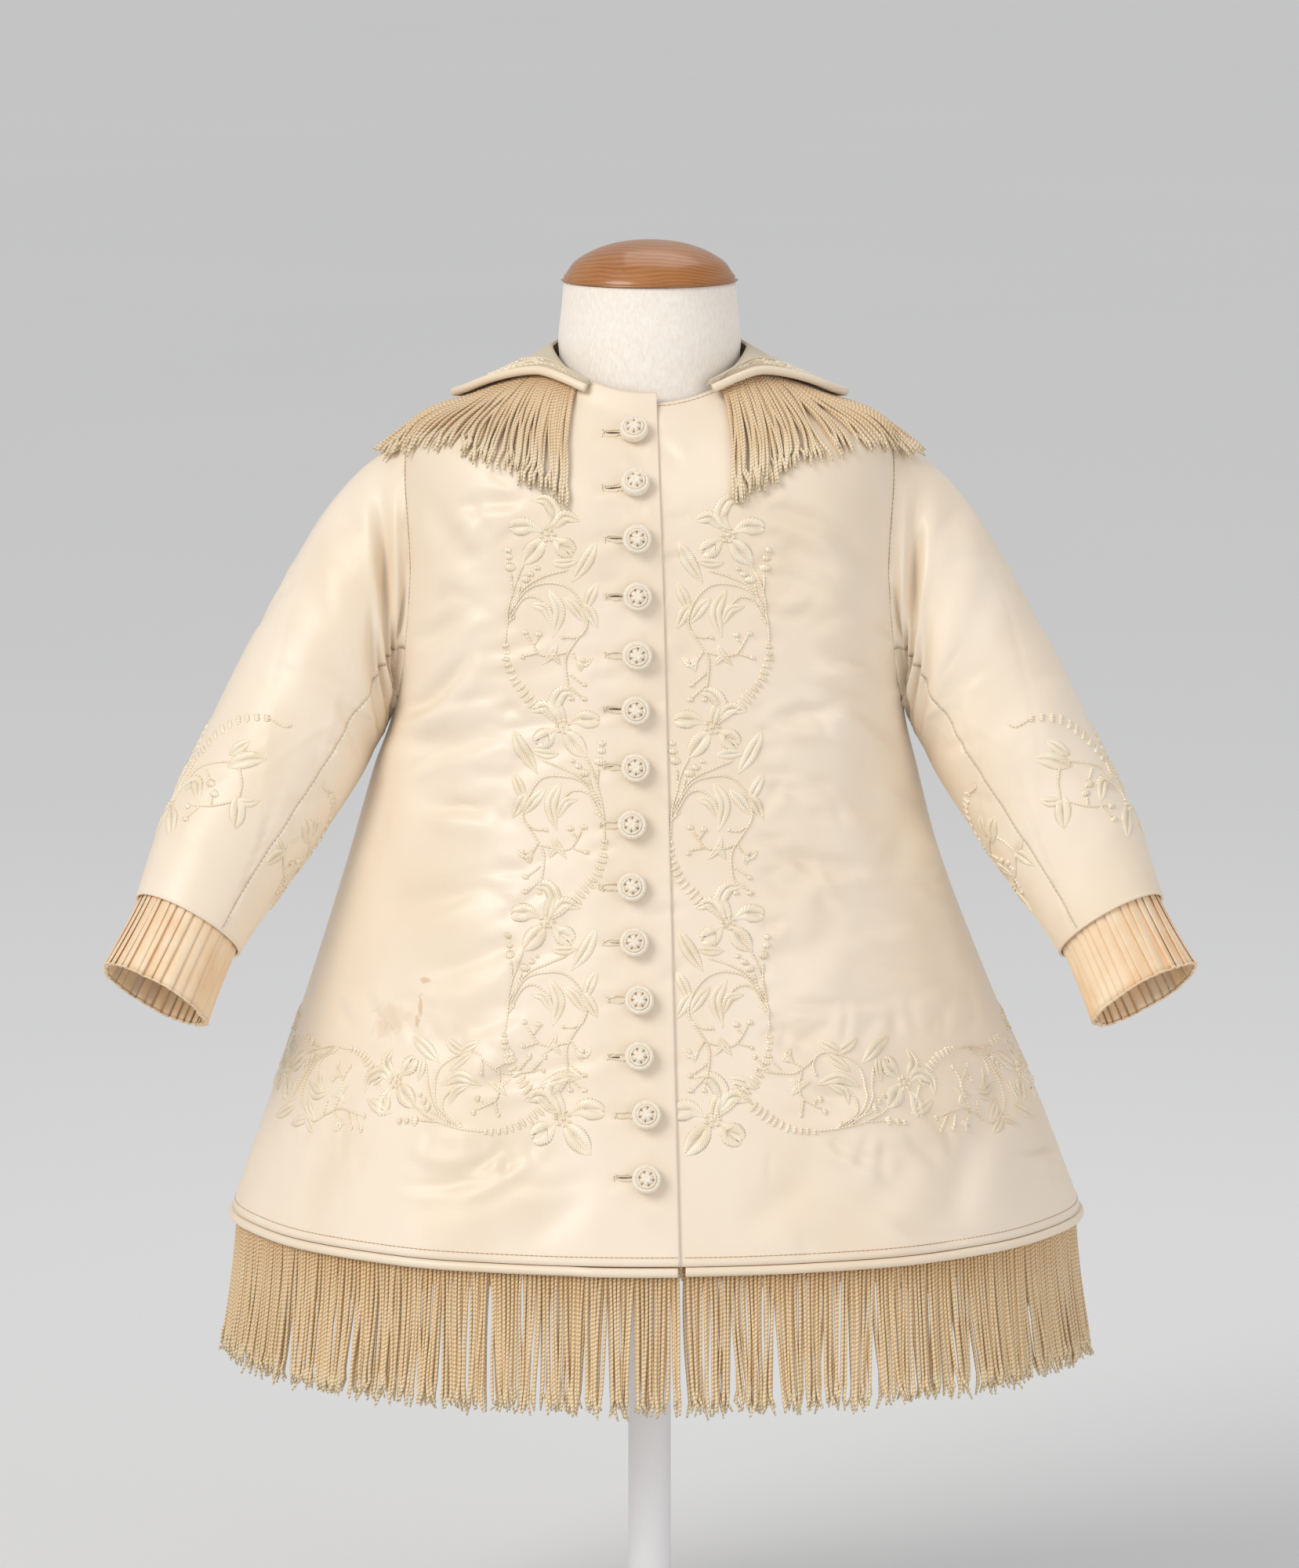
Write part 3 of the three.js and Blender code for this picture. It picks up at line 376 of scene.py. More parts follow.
def add_heading(parts: MeshParts, middle: Array, normal: Array) -> None:
    """Adds the woven strip that a fringe's cords hang from, in the shade of a cord's root."""
    before = parts.count
    add_shell(parts, middle, normal, STRIP_WALL)
    parts.values["strand"].append(np.tile([0.0, 0.0, 0.3], (parts.count - before, 1)))


def cord_sizes(radius: Array, share: Array, knot: tuple[float, float], end: float) -> Array:
    """Radii of cords with knotted tips.

    Args:
        radius: Each cord's radius.
        share: Places along the cords, 0 to 1.
        knot: Where the knot starts, and its radius over the cord's.
        end: Radius of the very end, over the cord's.

    Returns:
        The radius at each place.
    """
    return radius * np.where(share > 0.99, end, np.where(share > knot[0], knot[1], 1))


def area_of(piece: Object) -> float:
    """The piece's whole surface in square metres."""
    return sum(polygon.area for polygon in piece.data.polygons)


# ---------------------------------------------------------------- the coat's surfaces


@dataclass(frozen=True)
class Crease:
    """A soft trough or ridge in the cloth, placed as it looks from the front or the back.

    x and z run along its line, bow bends it sideways, and depth is negative for a trough.
    """

    x0: float
    z0: float
    x1: float
    z1: float
    width: float
    depth: float
    bow: float = 0.0

    def relief(self, x: Array, z: Array) -> Array:
        """How far the cloth stands off its smooth form at places seen from the front."""
        dx, dz = self.x1 - self.x0, self.z1 - self.z0
        length = math.hypot(dx, dz)
        share = ((x - self.x0) * dx + (z - self.z0) * dz) / length ** 2
        off = ((x - self.x0) * dz - (z - self.z0) * dx) / length - self.bow * 4 * share * (1 - share)
        fade = smooth(-0.12, 0.3, share) * (1 - smooth(0.65, 1.12, share))
        middle = np.exp(-(off / self.width) ** 2)
        beside = np.exp(-((off - 1.8 * self.width) / (1.5 * self.width)) ** 2)
        return CREASE_GAIN * self.depth * fade * (middle - 0.55 * beside)


FRONT_CREASES = tuple(Crease(*row) for row in (
    (-124, 512, -88, 552, 4.5, -3.0, 3), (-119, 540, -78, 582, 6.5, -1.3, -3),
    (-128, 498, -70, 517, 5.5, -1.8, 4), (-134, 478, -98, 520, 9, 1.6, -4),
    (-108, 474, -67, 470, 5, -1.0, 2), (-139, 411, -74, 432, 7, -1.4, -4),
    (-112, 388, -64, 411, 5.5, -1.3, 3), (-105, 348, -63, 380, 7.5, -2.0, -3),
    (-92, 338, -58, 372, 6, 1.0, 2), (-114, 628, -80, 587, 7, -1.3, 4), (-92, 625, -78, 606, 4, -0.9),
    (-170, 330, -130, 372, 10, -1.2, 4), (-118, 270, -50, 312, 9, -1.1, -5),
    (-180, 262, -150, 330, 9, -1.5, 3), (-64, 262, -26, 300, 8, -0.9, 3),
    (-143, 440, -118, 500, 8, -1.2, -3), (57, 622, 111, 593, 4.5, -1.9, -5),
    (62, 606, 104, 592, 9, -1.6, 3), (79, 534, 127, 495, 5, -2.0, -5),
    (84, 549, 112, 540, 4.5, -1.3, -2), (62, 520, 100, 512, 6, -1.0, 3),
    (60, 453, 117, 439, 4, -1.7, 2), (56, 438, 84, 441, 7, -1.5, 3), (54, 399, 96, 408, 8, -1.8, 3),
    (56, 364, 94, 344, 5.5, -1.5, -3), (50, 382, 80, 390, 5, -0.9, 2), (98, 340, 150, 318, 9, -1.3, -5),
    (40, 268, 84, 300, 8, -1.1, 4), (150, 262, 182, 330, 9, -1.5, -4), (118, 430, 139, 500, 8, -1.4, 4),
    (94, 476, 130, 462, 6, -1.1, 2), (104, 275, 132, 300, 8, -0.9, 3),
))
BACK_CREASES = tuple(Crease(*row) for row in (
    (-110, 520, -62, 574, 7, -1.8, 4), (112, 516, 66, 566, 7, -1.9, -4),
    (-60, 600, 58, 606, 9, -1.4, 3), (-40, 560, 52, 548, 8, -1.2, -4), (-20, 300, -14, 520, 10, 1.6, 5),
    (48, 270, 36, 480, 11, -1.7, 4), (-76, 268, -54, 450, 10, -1.8, -5),
    (108, 264, 82, 420, 10, 1.6, 4), (-138, 262, -108, 420, 10, -1.7, 4),
    (150, 262, 120, 440, 9, -1.6, -4), (-88, 500, -40, 520, 6, -1.2, 2),
    (90, 470, 44, 488, 6, -1.1, -3), (-118, 560, -84, 610, 6, -1.2, 2),
    (120, 556, 88, 604, 6, -1.3, -2),
))


@dataclass(frozen=True)
class Puckers:
    """Short creases that stitching draws into the satin round the embroidered bands."""

    seed: int = 11
    bands: int = 74
    edge: float = 24.0
    spread: float = 16.0
    middles: tuple[float, float] = (-47.0, 36.0)
    heights: tuple[float, float] = (640.0, 345.0)
    hem_band: float = 333.0

    def creases(self) -> list[Crease]:
        """Draws the puckers, uneven in length, depth and lean, along both fronts' bands."""
        rng = np.random.default_rng(self.seed)
        made = []
        for middle in self.middles:
            for z in np.linspace(*self.heights, self.bands // 2):
                outward = math.copysign(1.0, middle) * (1 if rng.random() < 0.72 else -1)
                x = middle + outward * (self.edge - 12 + rng.random() * 8)
                reach = outward * (8 + rng.random() * self.spread)
                lean = rng.normal(0, 7)
                start = z + rng.normal(0, 3)
                made.append(Crease(x, start, x + reach, z + lean, 1.7 + rng.random() * 1.8,
                                   -0.35 - rng.random() * 0.5))
        for x in (*np.linspace(-186, -60, 22), *np.linspace(60, 190, 22)):
            up = 1 if rng.random() < 0.6 else -1
            z = self.hem_band + up * (20 + rng.random() * 5)
            end = (x + rng.normal(0, 7), z + up * (9 + rng.random() * 13))
            made.append(Crease(x, z, *end, 1.8 + rng.random() * 1.8, -0.3 - rng.random() * 0.4))
        for x, z in BUTTONS:
            made.append(Crease(x - 20, z + rng.normal(0, 1.5), x - 5, z, 2.6, -0.7))
            made.append(Crease(x + 4, z, x + 15, z + rng.normal(0, 2), 3.2, -0.5))
            made.append(Crease(x - 4, z - 9, x + 6, z - 12 + rng.normal(0, 1), 3.5, -0.45))
        return made

    def slack(self, count: int, clear: float) -> list[Crease]:
        """Draws the shallow creases of slack cloth.

        Args:
            count: How many.
            clear: How far from the centre front's buttons they keep.

        Returns:
            The creases, uneven in length, lean and depth.
        """
        rng = np.random.default_rng(self.seed + count)
        made = []
        while len(made) < count:
            z = rng.uniform(264, 640)
            half = np.interp(z, (252, 512, 646), (212, 124, 112))
            x = rng.uniform(-half, half)
            if abs(x + 6) < clear:
                continue
            length = rng.uniform(18, 36) + 48 * rng.random() ** 2
            lean = math.radians(rng.normal(20, 15)) * -math.copysign(1, x)
            depth = -(0.35 + 1.2 * rng.random() ** 2) * (1 if rng.random() < 0.8 else -0.7)
            width = 2.0 + 1.6 * rng.random() ** 2 + 0.015 * length
            made.append(Crease(x, z, x + length * math.cos(lean), z + length * math.sin(lean), width, depth,
                               rng.normal(0, 3)))
        return made


class CoatBody:
    """The coat's body, by angle from the centre front in degrees and girth station in millimetres."""

    # station, heights at front, side and back, half-sizes right, left, front and back, squareness
    rows = SizeTable((
        (252.5, 252.5, 252.5, 252.5, 214, 221, 154, 154, 2), (310, 310, 310, 310, 194, 199, 139, 140, 2),
        (370, 370, 370, 370, 173.5, 173, 124, 125, 2), (435, 435, 435, 435, 153, 148, 109, 111, 2.1),
        (480, 480, 480, 480, 140, 136, 100, 101, 2.2), (512, 512, 512, 512, 129.5, 129, 95, 93, 2.4),
        (580, 576, 580, 584, 127.5, 127.5, 89, 87, 2.5), (646, 624, 651, 641, 121, 121, 84, 81, 2.4),
        (684, 648, 669, 669, 87, 87, 66, 68, 2.2), (706, 661, 678, 681.5, 66, 66, 56.5, 57, 2.05),
        (726, 671, 685, 692, 49, 49, 49, 49, 2),
    ))
    # angle, tilt, station, reach, width, depth of the large folds that the solids have too
    folds = (
        (-52, 0.05, 560, 75, 7, 3.2), (-60, 0.08, 470, 60, 6, -3), (53, -0.05, 555, 70, 7, 3),
        (62, -0.1, 465, 55, 6, -2.6), (-38, 0.03, 320, 80, 9, 3.4), (42, -0.03, 330, 85, 9, 3.2),
        (74, 0, 330, 90, 8, -3), (-75, 0, 325, 90, 8, -3.2), (125, 0.04, 350, 110, 9, 4),
        (152, 0, 320, 90, 8, -3), (180, 0, 340, 120, 9, 4), (-151, 0, 325, 95, 8, -3),
        (-126, -0.04, 345, 105, 9, 3.8),
    )

    def __init__(self) -> None:
        """Gathers the creases of the front and the back."""
        puckers = Puckers()
        self.front = (*FRONT_CREASES, *puckers.creases(), *puckers.slack(110, 62))
        self.back = (*BACK_CREASES, *puckers.slack(130, 0))

    def point(self, angle: Array, at: Array) -> Array:
        """A place on the smooth body."""
        angle, at = np.broadcast_arrays(np.asarray(angle, float), np.asarray(at, float))
        row = np.moveaxis(self.rows.at(at), -1, 0)
        sine, cosine = np.sin(np.radians(angle)), np.cos(np.radians(angle))
        wide = np.where(sine < 0, row[4], row[5])
        deep = np.where(cosine > 0, row[6], row[7])
        reach = np.abs(sine / wide) ** row[8] + np.abs(cosine / deep) ** row[8]
        radius = reach ** (-1 / row[8])
        for middle, tilt, centre, length, width, depth in self.folds:
            off = ((angle - middle - tilt * (at - centre) + 540) % 360 - 180) / width
            radius = radius + depth * np.exp(-(off ** 2)) * np.exp(-(((at - centre) / length) ** 4))
        end = np.where(cosine > 0, row[1], row[3])
        return xyz(radius * sine, -radius * cosine, row[2] + (end - row[2]) * cosine ** 2)

    def normal(self, angle: Array, at: Array) -> Array:
        """Outward normal of the smooth body."""
        inside = np.clip(at, HEM + STEP, NECKLINE - STEP)
        du = self.point(np.asarray(angle) + STEP, inside) - self.point(np.asarray(angle) - STEP, inside)
        dv = self.point(angle, inside + STEP) - self.point(angle, inside - STEP)
        return unit(np.cross(du, dv))

    def place(self, angle: Array, at: Array, lift: Array | float = 0.0) -> tuple[Array, Array]:
        """A place moved out along the normal, and that normal."""
        normal = self.normal(angle, at)
        return self.point(angle, at) + normal * np.asarray(lift, float)[..., None], normal

    def dressed(self, angle: Array, at: Array, lift: Array | float = 0.0,
                lapped: bool = False) -> tuple[Array, Array]:
        """A place on the creased cloth.

        Args:
            angle: Angle from the centre front.
            at: Girth station.
            lift: Height over the cloth's middle.
            lapped: Whether the cloth is the right front, which rises over the left.

        Returns:
            The points and the smooth body's normals.
        """
        point, normal = self.place(angle, at)
        relief = np.zeros(point.shape[:-1])
        for creases, sign in ((self.front, -1.0), (self.back, 1.0)):
            mask = smooth(0.0, SIDE_BLEND, sign * point[..., 1])
            for crease in creases:
                relief += mask * crease.relief(point[..., 0], point[..., 2])
        relief *= smooth(0, HEM_FADE, np.asarray(at, float) - HEM + SEAM_FADE)
        turn = np.abs((np.asarray(angle) + 180) % 360 - 180)
        opening = self.armhole(at, np.where(turn < 90, ARMHOLE_FRONT, ARMHOLE_BACK))
        away = np.radians(np.maximum(0, np.abs(turn - 90) - opening))
        clear = away * np.linalg.norm(point[..., :2], axis=-1)
        relief *= 1 - np.exp(-(clear / SEAM_FADE) ** 2)
        if lapped:
            relief += LAP_LIFT * lap_share(point[..., 0]) * (point[..., 1] < 0)
        return point + normal * (relief + lift)[..., None], normal

    def angle_of_x(self, x: Array, at: Array) -> Array:
        """Angle near the centre front at which the body has an x."""
        angle = np.zeros(np.broadcast(x, at).shape)
        for _ in range(10):
            radius = np.linalg.norm(self.point(angle, at)[..., :2], axis=-1)
            angle = np.degrees(np.arcsin(np.clip(x / radius, -1, 1)))
        return angle

    def from_front(self, x: Array, z: Array) -> tuple[Array, Array]:
        """Angle and station of the front's place at an x and a height."""
        at = np.array(z, float)
        for _ in range(10):
            angle = self.angle_of_x(x, at)
            at = at + z - self.point(angle, at)[..., 2]
        return angle, at

    @staticmethod
    def armhole(at: Array, half: Array | float) -> Array:
        """Half angle of the armhole at a station."""
        return half * np.sqrt(np.maximum(0, 1 - ((np.asarray(at) - ARMHOLE_AT) / ARMHOLE_REACH) ** 2))

    def side_edge(self, at: Array, half: float, sign: int) -> Array:
        """Angle of a panel's side edge, short of the seam or the armhole."""
        gap = np.degrees(SEAM_INSET / np.linalg.norm(self.point(90.0, at), axis=-1))
        return 90 + sign * (self.armhole(at, half) + gap)

    @staticmethod
    def lapped_edge(at: Array) -> Array:
        """x of the right front's free edge."""
        return EDGE_AT_HEM + (EDGE_AT_NECK - EDGE_AT_HEM) * (np.asarray(at) - HEM) / (NECKLINE - HEM)


COAT = CoatBody()


@dataclass(frozen=True)
class SleeveForm:
    """A sleeve, by station down the arm, 0 at the armhole to 9, and turn round it in degrees."""

    side: Side

    # outer edge's x and z, inner edge's x and z, place forward, half depth of each ring
    rings = (
        (-145.5, 632, -132.2, 510.5, -1, 42), (-164.6, 610.2, -133.2, 507, -3, 42.5),
        (-182.6, 580.5, -135.6, 500, -6, 42.5), (-198.5, 553, -139.4, 492, -10, 42),
        (-212, 527.6, -145.2, 480.5, -15, 41), (-225.3, 500.5, -155.8, 464, -22, 39.5),
        (-238.1, 475.7, -173.6, 439, -31, 37), (-248.6, 452, -190.4, 417.5, -41, 33),
        (-258.2, 422.4, -207.6, 392.3, -54, 29.5),
    )
    # station, angle, tilt, width, turn, depth of the folds that the solids have too
    folds = (
        (1.4, 95, 26, 0.5, 38, -2.6), (2.7, 80, 20, 0.5, 42, 2.4), (4.1, 125, 14, 0.55, 40, -2.6),
        (5.6, 70, 18, 0.5, 36, 2), (2.2, 250, -22, 0.5, 42, -2.4), (4.4, 270, -15, 0.55, 40, 2.4),
    )
    # finer wrinkles: station, angle, tilt, width, turn, depth
    wrinkles = (
        (1.0, 78, 5, 0.22, 30, -8.0), (0.62, 82, 8, 0.14, 24, 2.4), (1.42, 84, 10, 0.26, 26, 2.6),
        (0.42, 106, 8, 0.15, 16, -5.5), (0.85, 120, 6, 0.15, 20, -7.0), (1.1, 128, 8, 0.1, 20, 2.4),
        (1.38, 126, 10, 0.18, 22, -5.6), (1.75, 132, 12, 0.14, 20, 2.0), (2.05, 128, 16, 0.17, 20, -4.0),
        (2.3, 108, 30, 0.2, 18, -2.6), (0.55, 128, 60, 0.26, 26, -4.4), (0.95, 146, 70, 0.26, 24, 3.0),
        (1.35, 134, 48, 0.2, 22, -3.2),
        (2.0, 140, 40, 0.2, 24, 1.8), (2.5, 122, 30, 0.18, 20, -2.2), (3.1, 134, 24, 0.17, 20, -1.8),
        (3.55, 128, -18, 0.15, 16, 0.9), (4.6, 130, 20, 0.16, 18, -1.2), (5.0, 124, -12, 0.14, 15, -1.0),
        (5.4, 132, 16, 0.15, 17, 0.9), (5.9, 126, 20, 0.14, 16, -1.0), (6.3, 130, -14, 0.13, 14, -0.8),
        (6.8, 128, 18, 0.15, 15, -0.9), (7.4, 122, 10, 0.16, 18, -0.8), (1.9, 40, 20, 0.4, 30, -1.2),
        (3.4, 52, 14, 0.4, 30, 1.0), (6.6, 60, -16, 0.3, 28, -0.9), (7.9, 50, 12, 0.2, 30, 0.6),
        (1.1, 232, -50, 0.25, 24, -1.8), (1.9, 226, -30, 0.2, 22, 1.2), (3.2, 232, -22, 0.2, 20, -1.2),
        (5.2, 236, -16, 0.18, 18, -1.1), (6.1, 240, 14, 0.16, 18, 0.9), (7.0, 234, -18, 0.16, 18, -0.9),
        (2.9, 300, -14, 0.35, 30, -1.1), (5.7, 310, 16, 0.3, 26, -1.0), (7.6, 320, 10, 0.25, 24, 0.7),
    )

    slack_count = 54
    slack_seed = 29

    def slack(self) -> list[tuple[float, ...]]:
        """Draws the shallow wrinkles of slack cloth, as rows like the finer wrinkles'."""
        rng = np.random.default_rng(self.slack_seed)
        return [(rng.uniform(0.4, 8.5), rng.uniform(0, 360), rng.normal(0, 45), rng.uniform(0.1, 0.2),
                 rng.uniform(10, 26), rng.choice((-1.0, 0.8)) * rng.uniform(0.3, 0.9))
                for _ in range(self.slack_count)]

    def centre(self, index: int) -> Array:
        """Middle of a ring of the right sleeve."""
        out_x, out_z, in_x, in_z, y, _ = self.rings[min(max(index, 0), len(self.rings) - 1)]
        return np.array([(out_x + in_x) / 2, y, (out_z + in_z) / 2])

    def ring(self, index: int, turn: Array) -> Array:
        """Points of one ring; ring -1 stands on the body round the armhole."""
        cosine, sine = np.cos(np.radians(turn)), np.sin(np.radians(turn))
        if index < 0:
            half = np.where(sine > 0, ARMHOLE_FRONT, ARMHOLE_BACK)
            station = ARMHOLE_AT + ARMHOLE_REACH * cosine
            return COAT.place(self.side.value * (90 - half * sine), station, 0.25)[0]
        out_x, out_z, in_x, in_z, _, half = self.rings[index]
        across = np.array([(out_x - in_x) / 2, 0, (out_z - in_z) / 2])
        axis = unit(self.centre(index + 1) - self.centre(index - 1))
        deep = unit(np.cross(axis, unit(across))) * -half
        point = self.centre(index) + across * cosine[..., None] + deep * sine[..., None]
        return point * np.array([-self.side.value, 1, 1])

    def point(self, station: Array, turn: Array) -> Array:
        """A place on the smooth sleeve."""
        station, turn = np.broadcast_arrays(np.asarray(station, float), np.asarray(turn, float))
        last = len(self.rings)
        low = np.clip(np.floor(station), 0, last - 1).astype(int)
        stack = np.stack([self.ring(k - 1, turn) for k in range(last + 1)])
        near = [np.clip(low + k, 0, last) for k in (-1, 0, 1, 2)]
        p0, p1, p2, p3 = (np.take_along_axis(stack, n[None, ..., None], axis=0)[0] for n in near)
        t = (station - low)[..., None]
        return (p1 * (1 + 2 * t) * (1 - t) ** 2 + p2 * (3 - 2 * t) * t ** 2
                + (p2 - p0) * 0.5 * t * (1 - t) ** 2 - (p3 - p1) * 0.5 * (1 - t) * t ** 2)

    def by_turn(self, turn: Array, station: Array) -> Array:
        """A place on the smooth sleeve, by its turn first."""
        return self.point(station, turn)

    def relief(self, station: Array, turn: Array) -> Array:
        """Height of the folds and wrinkles."""
        relief = np.zeros(np.broadcast(station, turn).shape)
        for at, angle, tilt, width, spread, depth in (*self.folds, *self.wrinkles, *self.slack()):
            off = (turn - angle + 540) % 360 - 180
            down = (station - at - off / spread * tilt / 60) / width
            relief = relief + depth * np.exp(-(down ** 2)) * np.exp(-((off / spread) ** 2))
        gather = 0.35 * np.sin(np.radians(turn) * 26) * np.exp(-((station / 0.28) ** 2))
        return relief * smooth(-0.05, 0.4, station) + gather * smooth(0.02, 0.1, station)

    def place(self, station: Array, turn: Array, lift: Array | float = 0.0) -> tuple[Array, Array]:
        """A place on the creased sleeve, moved out along the normal, and that normal."""
        inside = np.clip(station, STEP, len(self.rings) - STEP)
        du = self.point(inside + STEP, turn) - self.point(inside - STEP, turn)
        dv = self.point(inside, np.asarray(turn) + STEP) - self.point(inside, np.asarray(turn) - STEP)
        normal = unit(np.cross(du, dv)) * -self.side.value
        height = self.relief(np.asarray(station, float), np.asarray(turn, float)) + lift
        return self.point(station, turn) + normal * height[..., None], normal


SLEEVES = {side: SleeveForm(side) for side in Side}


class CollarForm:
    """The cape collar, by turn from the centre front, 36 to 324 degrees, and reach, 0 to 1."""

    # angle, station and lift of the free edge, height of the neck edge
    edge = SizeTable((
        (36, 724, 6.5, 3), (50, 721, 8.5, 4), (64, 716, 9.3, 6), (73, 708, 9, 8), (81, 697, 8.2, 9.5),
        (88, 685, 7.2, 10.5), (97, 676, 6.4, 10.5), (120, 668, 6, 11), (150, 661, 6, 11.5), (180, 657, 6, 12),
    ))
    front = 36.0
    roll_lift = 9.5

    def point(self, turn: Array, reach: Array) -> Array:
        """A place on the collar."""
        turn, reach = np.broadcast_arrays(np.asarray(turn, float), np.asarray(reach, float))
        angle = signed(turn)
        row = np.moveaxis(self.edge.at(np.abs(angle)), -1, 0)
        lift = row[2] + np.maximum(0, self.roll_lift - row[2]) * (1 - reach) ** 2
        standing = 1 - smooth(0, 0.16, reach)
        point, _ = COAT.place(angle, NECKLINE + (row[1] - NECKLINE) * reach, lift * (1 - standing))
        return point + xyz(0, 0, row[3] * standing)

    def place(self, turn: Array, reach: Array, lift: Array | float = 0.0) -> tuple[Array, Array]:
        """A place moved out along the normal, and that normal."""
        inside = np.clip(reach, 0.01, 1 - STEP)
        du = self.point(np.asarray(turn) + STEP, inside) - self.point(np.asarray(turn) - STEP, inside)
        dv = self.point(turn, inside + STEP) - self.point(turn, inside - STEP)
        normal = -unit(np.cross(du, dv))
        return self.point(turn, reach) + normal * np.asarray(lift, float)[..., None], normal


COLLAR = CollarForm()


# ---------------------------------------------------------------- finishes


def linear(code: str) -> tuple[float, float, float, float]:
    """Turns an sRGB hex colour such as "eee0cd" to linear light, with full alpha."""
    parts = [int(code[k:k + 2], 16) / 255 for k in (0, 2, 4)]
    return (*(v / 12.92 if v <= 0.04045 else ((v + 0.055) / 1.055) ** 2.4 for v in parts), 1.0)


def add_node(tree: bpy.types.NodeTree, kind: str, settings: dict | None = None,
             links: dict | None = None) -> bpy.types.Node:
    """Adds a node with its settings and links.

    Args:
        tree: The material's or world's node tree.
        kind: The node's type, without its ShaderNode prefix.
        settings: Values of its properties or of its unlinked inputs, by name or number.
        links: Sockets that feed its inputs, by the input's name or number.

    Returns:
        The new node.
    """
    node = tree.nodes.new("ShaderNode" + kind)
    for name, value in (settings or {}).items():
        if name == "ramp":
            node.color_ramp.elements[0].position, node.color_ramp.elements[0].color = value[0]
            node.color_ramp.elements[1].position, node.color_ramp.elements[1].color = value[-1]
            for position, colour in value[1:-1]:
                node.color_ramp.elements.new(position).color = colour
        elif isinstance(name, str) and hasattr(node, name):
            setattr(node, name, value)
        else:
            node.inputs[name].default_value = value
    for name, socket in (links or {}).items():
        tree.links.new(socket, node.inputs[name])
    return node


class Surface:
    """A material being made: its tree, its object coordinates in metres and the chain of its bumps."""

    def __init__(self, name: str) -> None:
        """Starts an empty material of that name."""
        self.material = bpy.data.materials.new(name)
        self.material.use_nodes = True
        self.tree = self.material.node_tree
        self.tree.nodes.clear()
        self.where = self.add("TexCoord").outputs["Object"]
        self.normal: Socket | None = None

    def add(self, kind: str, settings: dict | None = None, links: dict | None = None) -> bpy.types.Node:
        """Adds a node to this material's tree."""
        return add_node(self.tree, kind, settings, links)

    def noise(self, size_mm: tuple[float, float, float], detail: float = 2.0,
              where: Socket | None = None) -> Socket:
        """Noise whose patches have a real size along x, y and z.

        Args:
            size_mm: Patch size in millimetres.
            detail: Levels of finer noise.
            where: Coordinates in metres, or the object's own.

        Returns:
            The noise, from 0 to 1.
        """
        scale = tuple(1000 / size for size in size_mm)
        mapped = self.add("Mapping", {"Scale": scale}, {"Vector": where or self.where})
        settings = {"Scale": 1.0, "Detail": detail}
        return self.add("TexNoise", settings, {"Vector": mapped.outputs[0]}).outputs["Fac"]

    def math(self, operation: str, a: Socket, b: Socket | float = 0.0) -> Socket:
        """One sum of a socket with another socket or a number."""
        if isinstance(b, (int, float)):
            return self.add("Math", {"operation": operation, 1: b}, {0: a}).outputs[0]
        return self.add("Math", {"operation": operation}, {0: a, 1: b}).outputs[0]

    def split(self, vector: Socket) -> Sequence[Socket]:
        """The three parts of a vector."""
        return self.add("SeparateXYZ", None, {0: vector}).outputs

    def attribute(self, name: str) -> Sequence[Socket]:
        """The three parts of a value that the mesh carries."""
        return self.split(self.add("Attribute", {"attribute_name": name}).outputs["Vector"])

    def squared(self, value: Socket) -> Socket:
        """A socket's value squared, whatever its sign."""
        return self.math("POWER", self.math("ABSOLUTE", value), 2.0)

    def ease(self, value: Socket, low: float, high: float,
             to: tuple[float, float] = (0.0, 1.0)) -> Socket:
        """Maps a range of a value to another, clamped."""
        return self.add("MapRange", {1: low, 2: high, 3: to[0], 4: to[1]}, {0: value}).outputs[0]

    def blend(self, amount: Socket, a: Socket | str, b: Socket | str) -> Socket:
        """Blends two colours, each a socket or a hex code, by an amount from 0 to 1."""
        node = self.add("Mix", {"data_type": "RGBA"}, {0: amount})
        for index, colour in ((6, a), (7, b)):
            if isinstance(colour, str):
                node.inputs[index].default_value = linear(colour)
            else:
                self.tree.links.new(colour, node.inputs[index])
        return node.outputs[2]

    def bump(self, height: Socket, depth_mm: float, strength: float = 1.0) -> None:
        """Adds relief of a real depth over the bumps so far."""
        links = {"Height": height}
        if self.normal is not None:
            links["Normal"] = self.normal
        settings = {"Distance": depth_mm * METRES, "Strength": strength}
        self.normal = self.add("Bump", settings, links).outputs[0]

    def finish(self, colour: Socket | str, roughness: Socket | float,
               **constants: float | tuple) -> Material:
        """Ends the material in its shader.

        Args:
            colour: Base colour, a socket or a hex code.
            roughness: Roughness, a socket or a number.
            constants: The shader's other inputs by name, with _ for a space.

        Returns:
            The material.
        """
        settings: dict = {name.replace("_", " "): value for name, value in constants.items()}
        links = {}
        for name, value in (("Base Color", colour), ("Roughness", roughness), ("Normal", self.normal)):
            if isinstance(value, str):
                settings[name] = linear(value)
            elif isinstance(value, (int, float)):
                settings[name] = value
            elif value is not None:
                links[name] = value
        shader = self.add("BsdfPrincipled", settings, links)
        self.add("OutputMaterial", None, {"Surface": shader.outputs[0]})
        return self.material


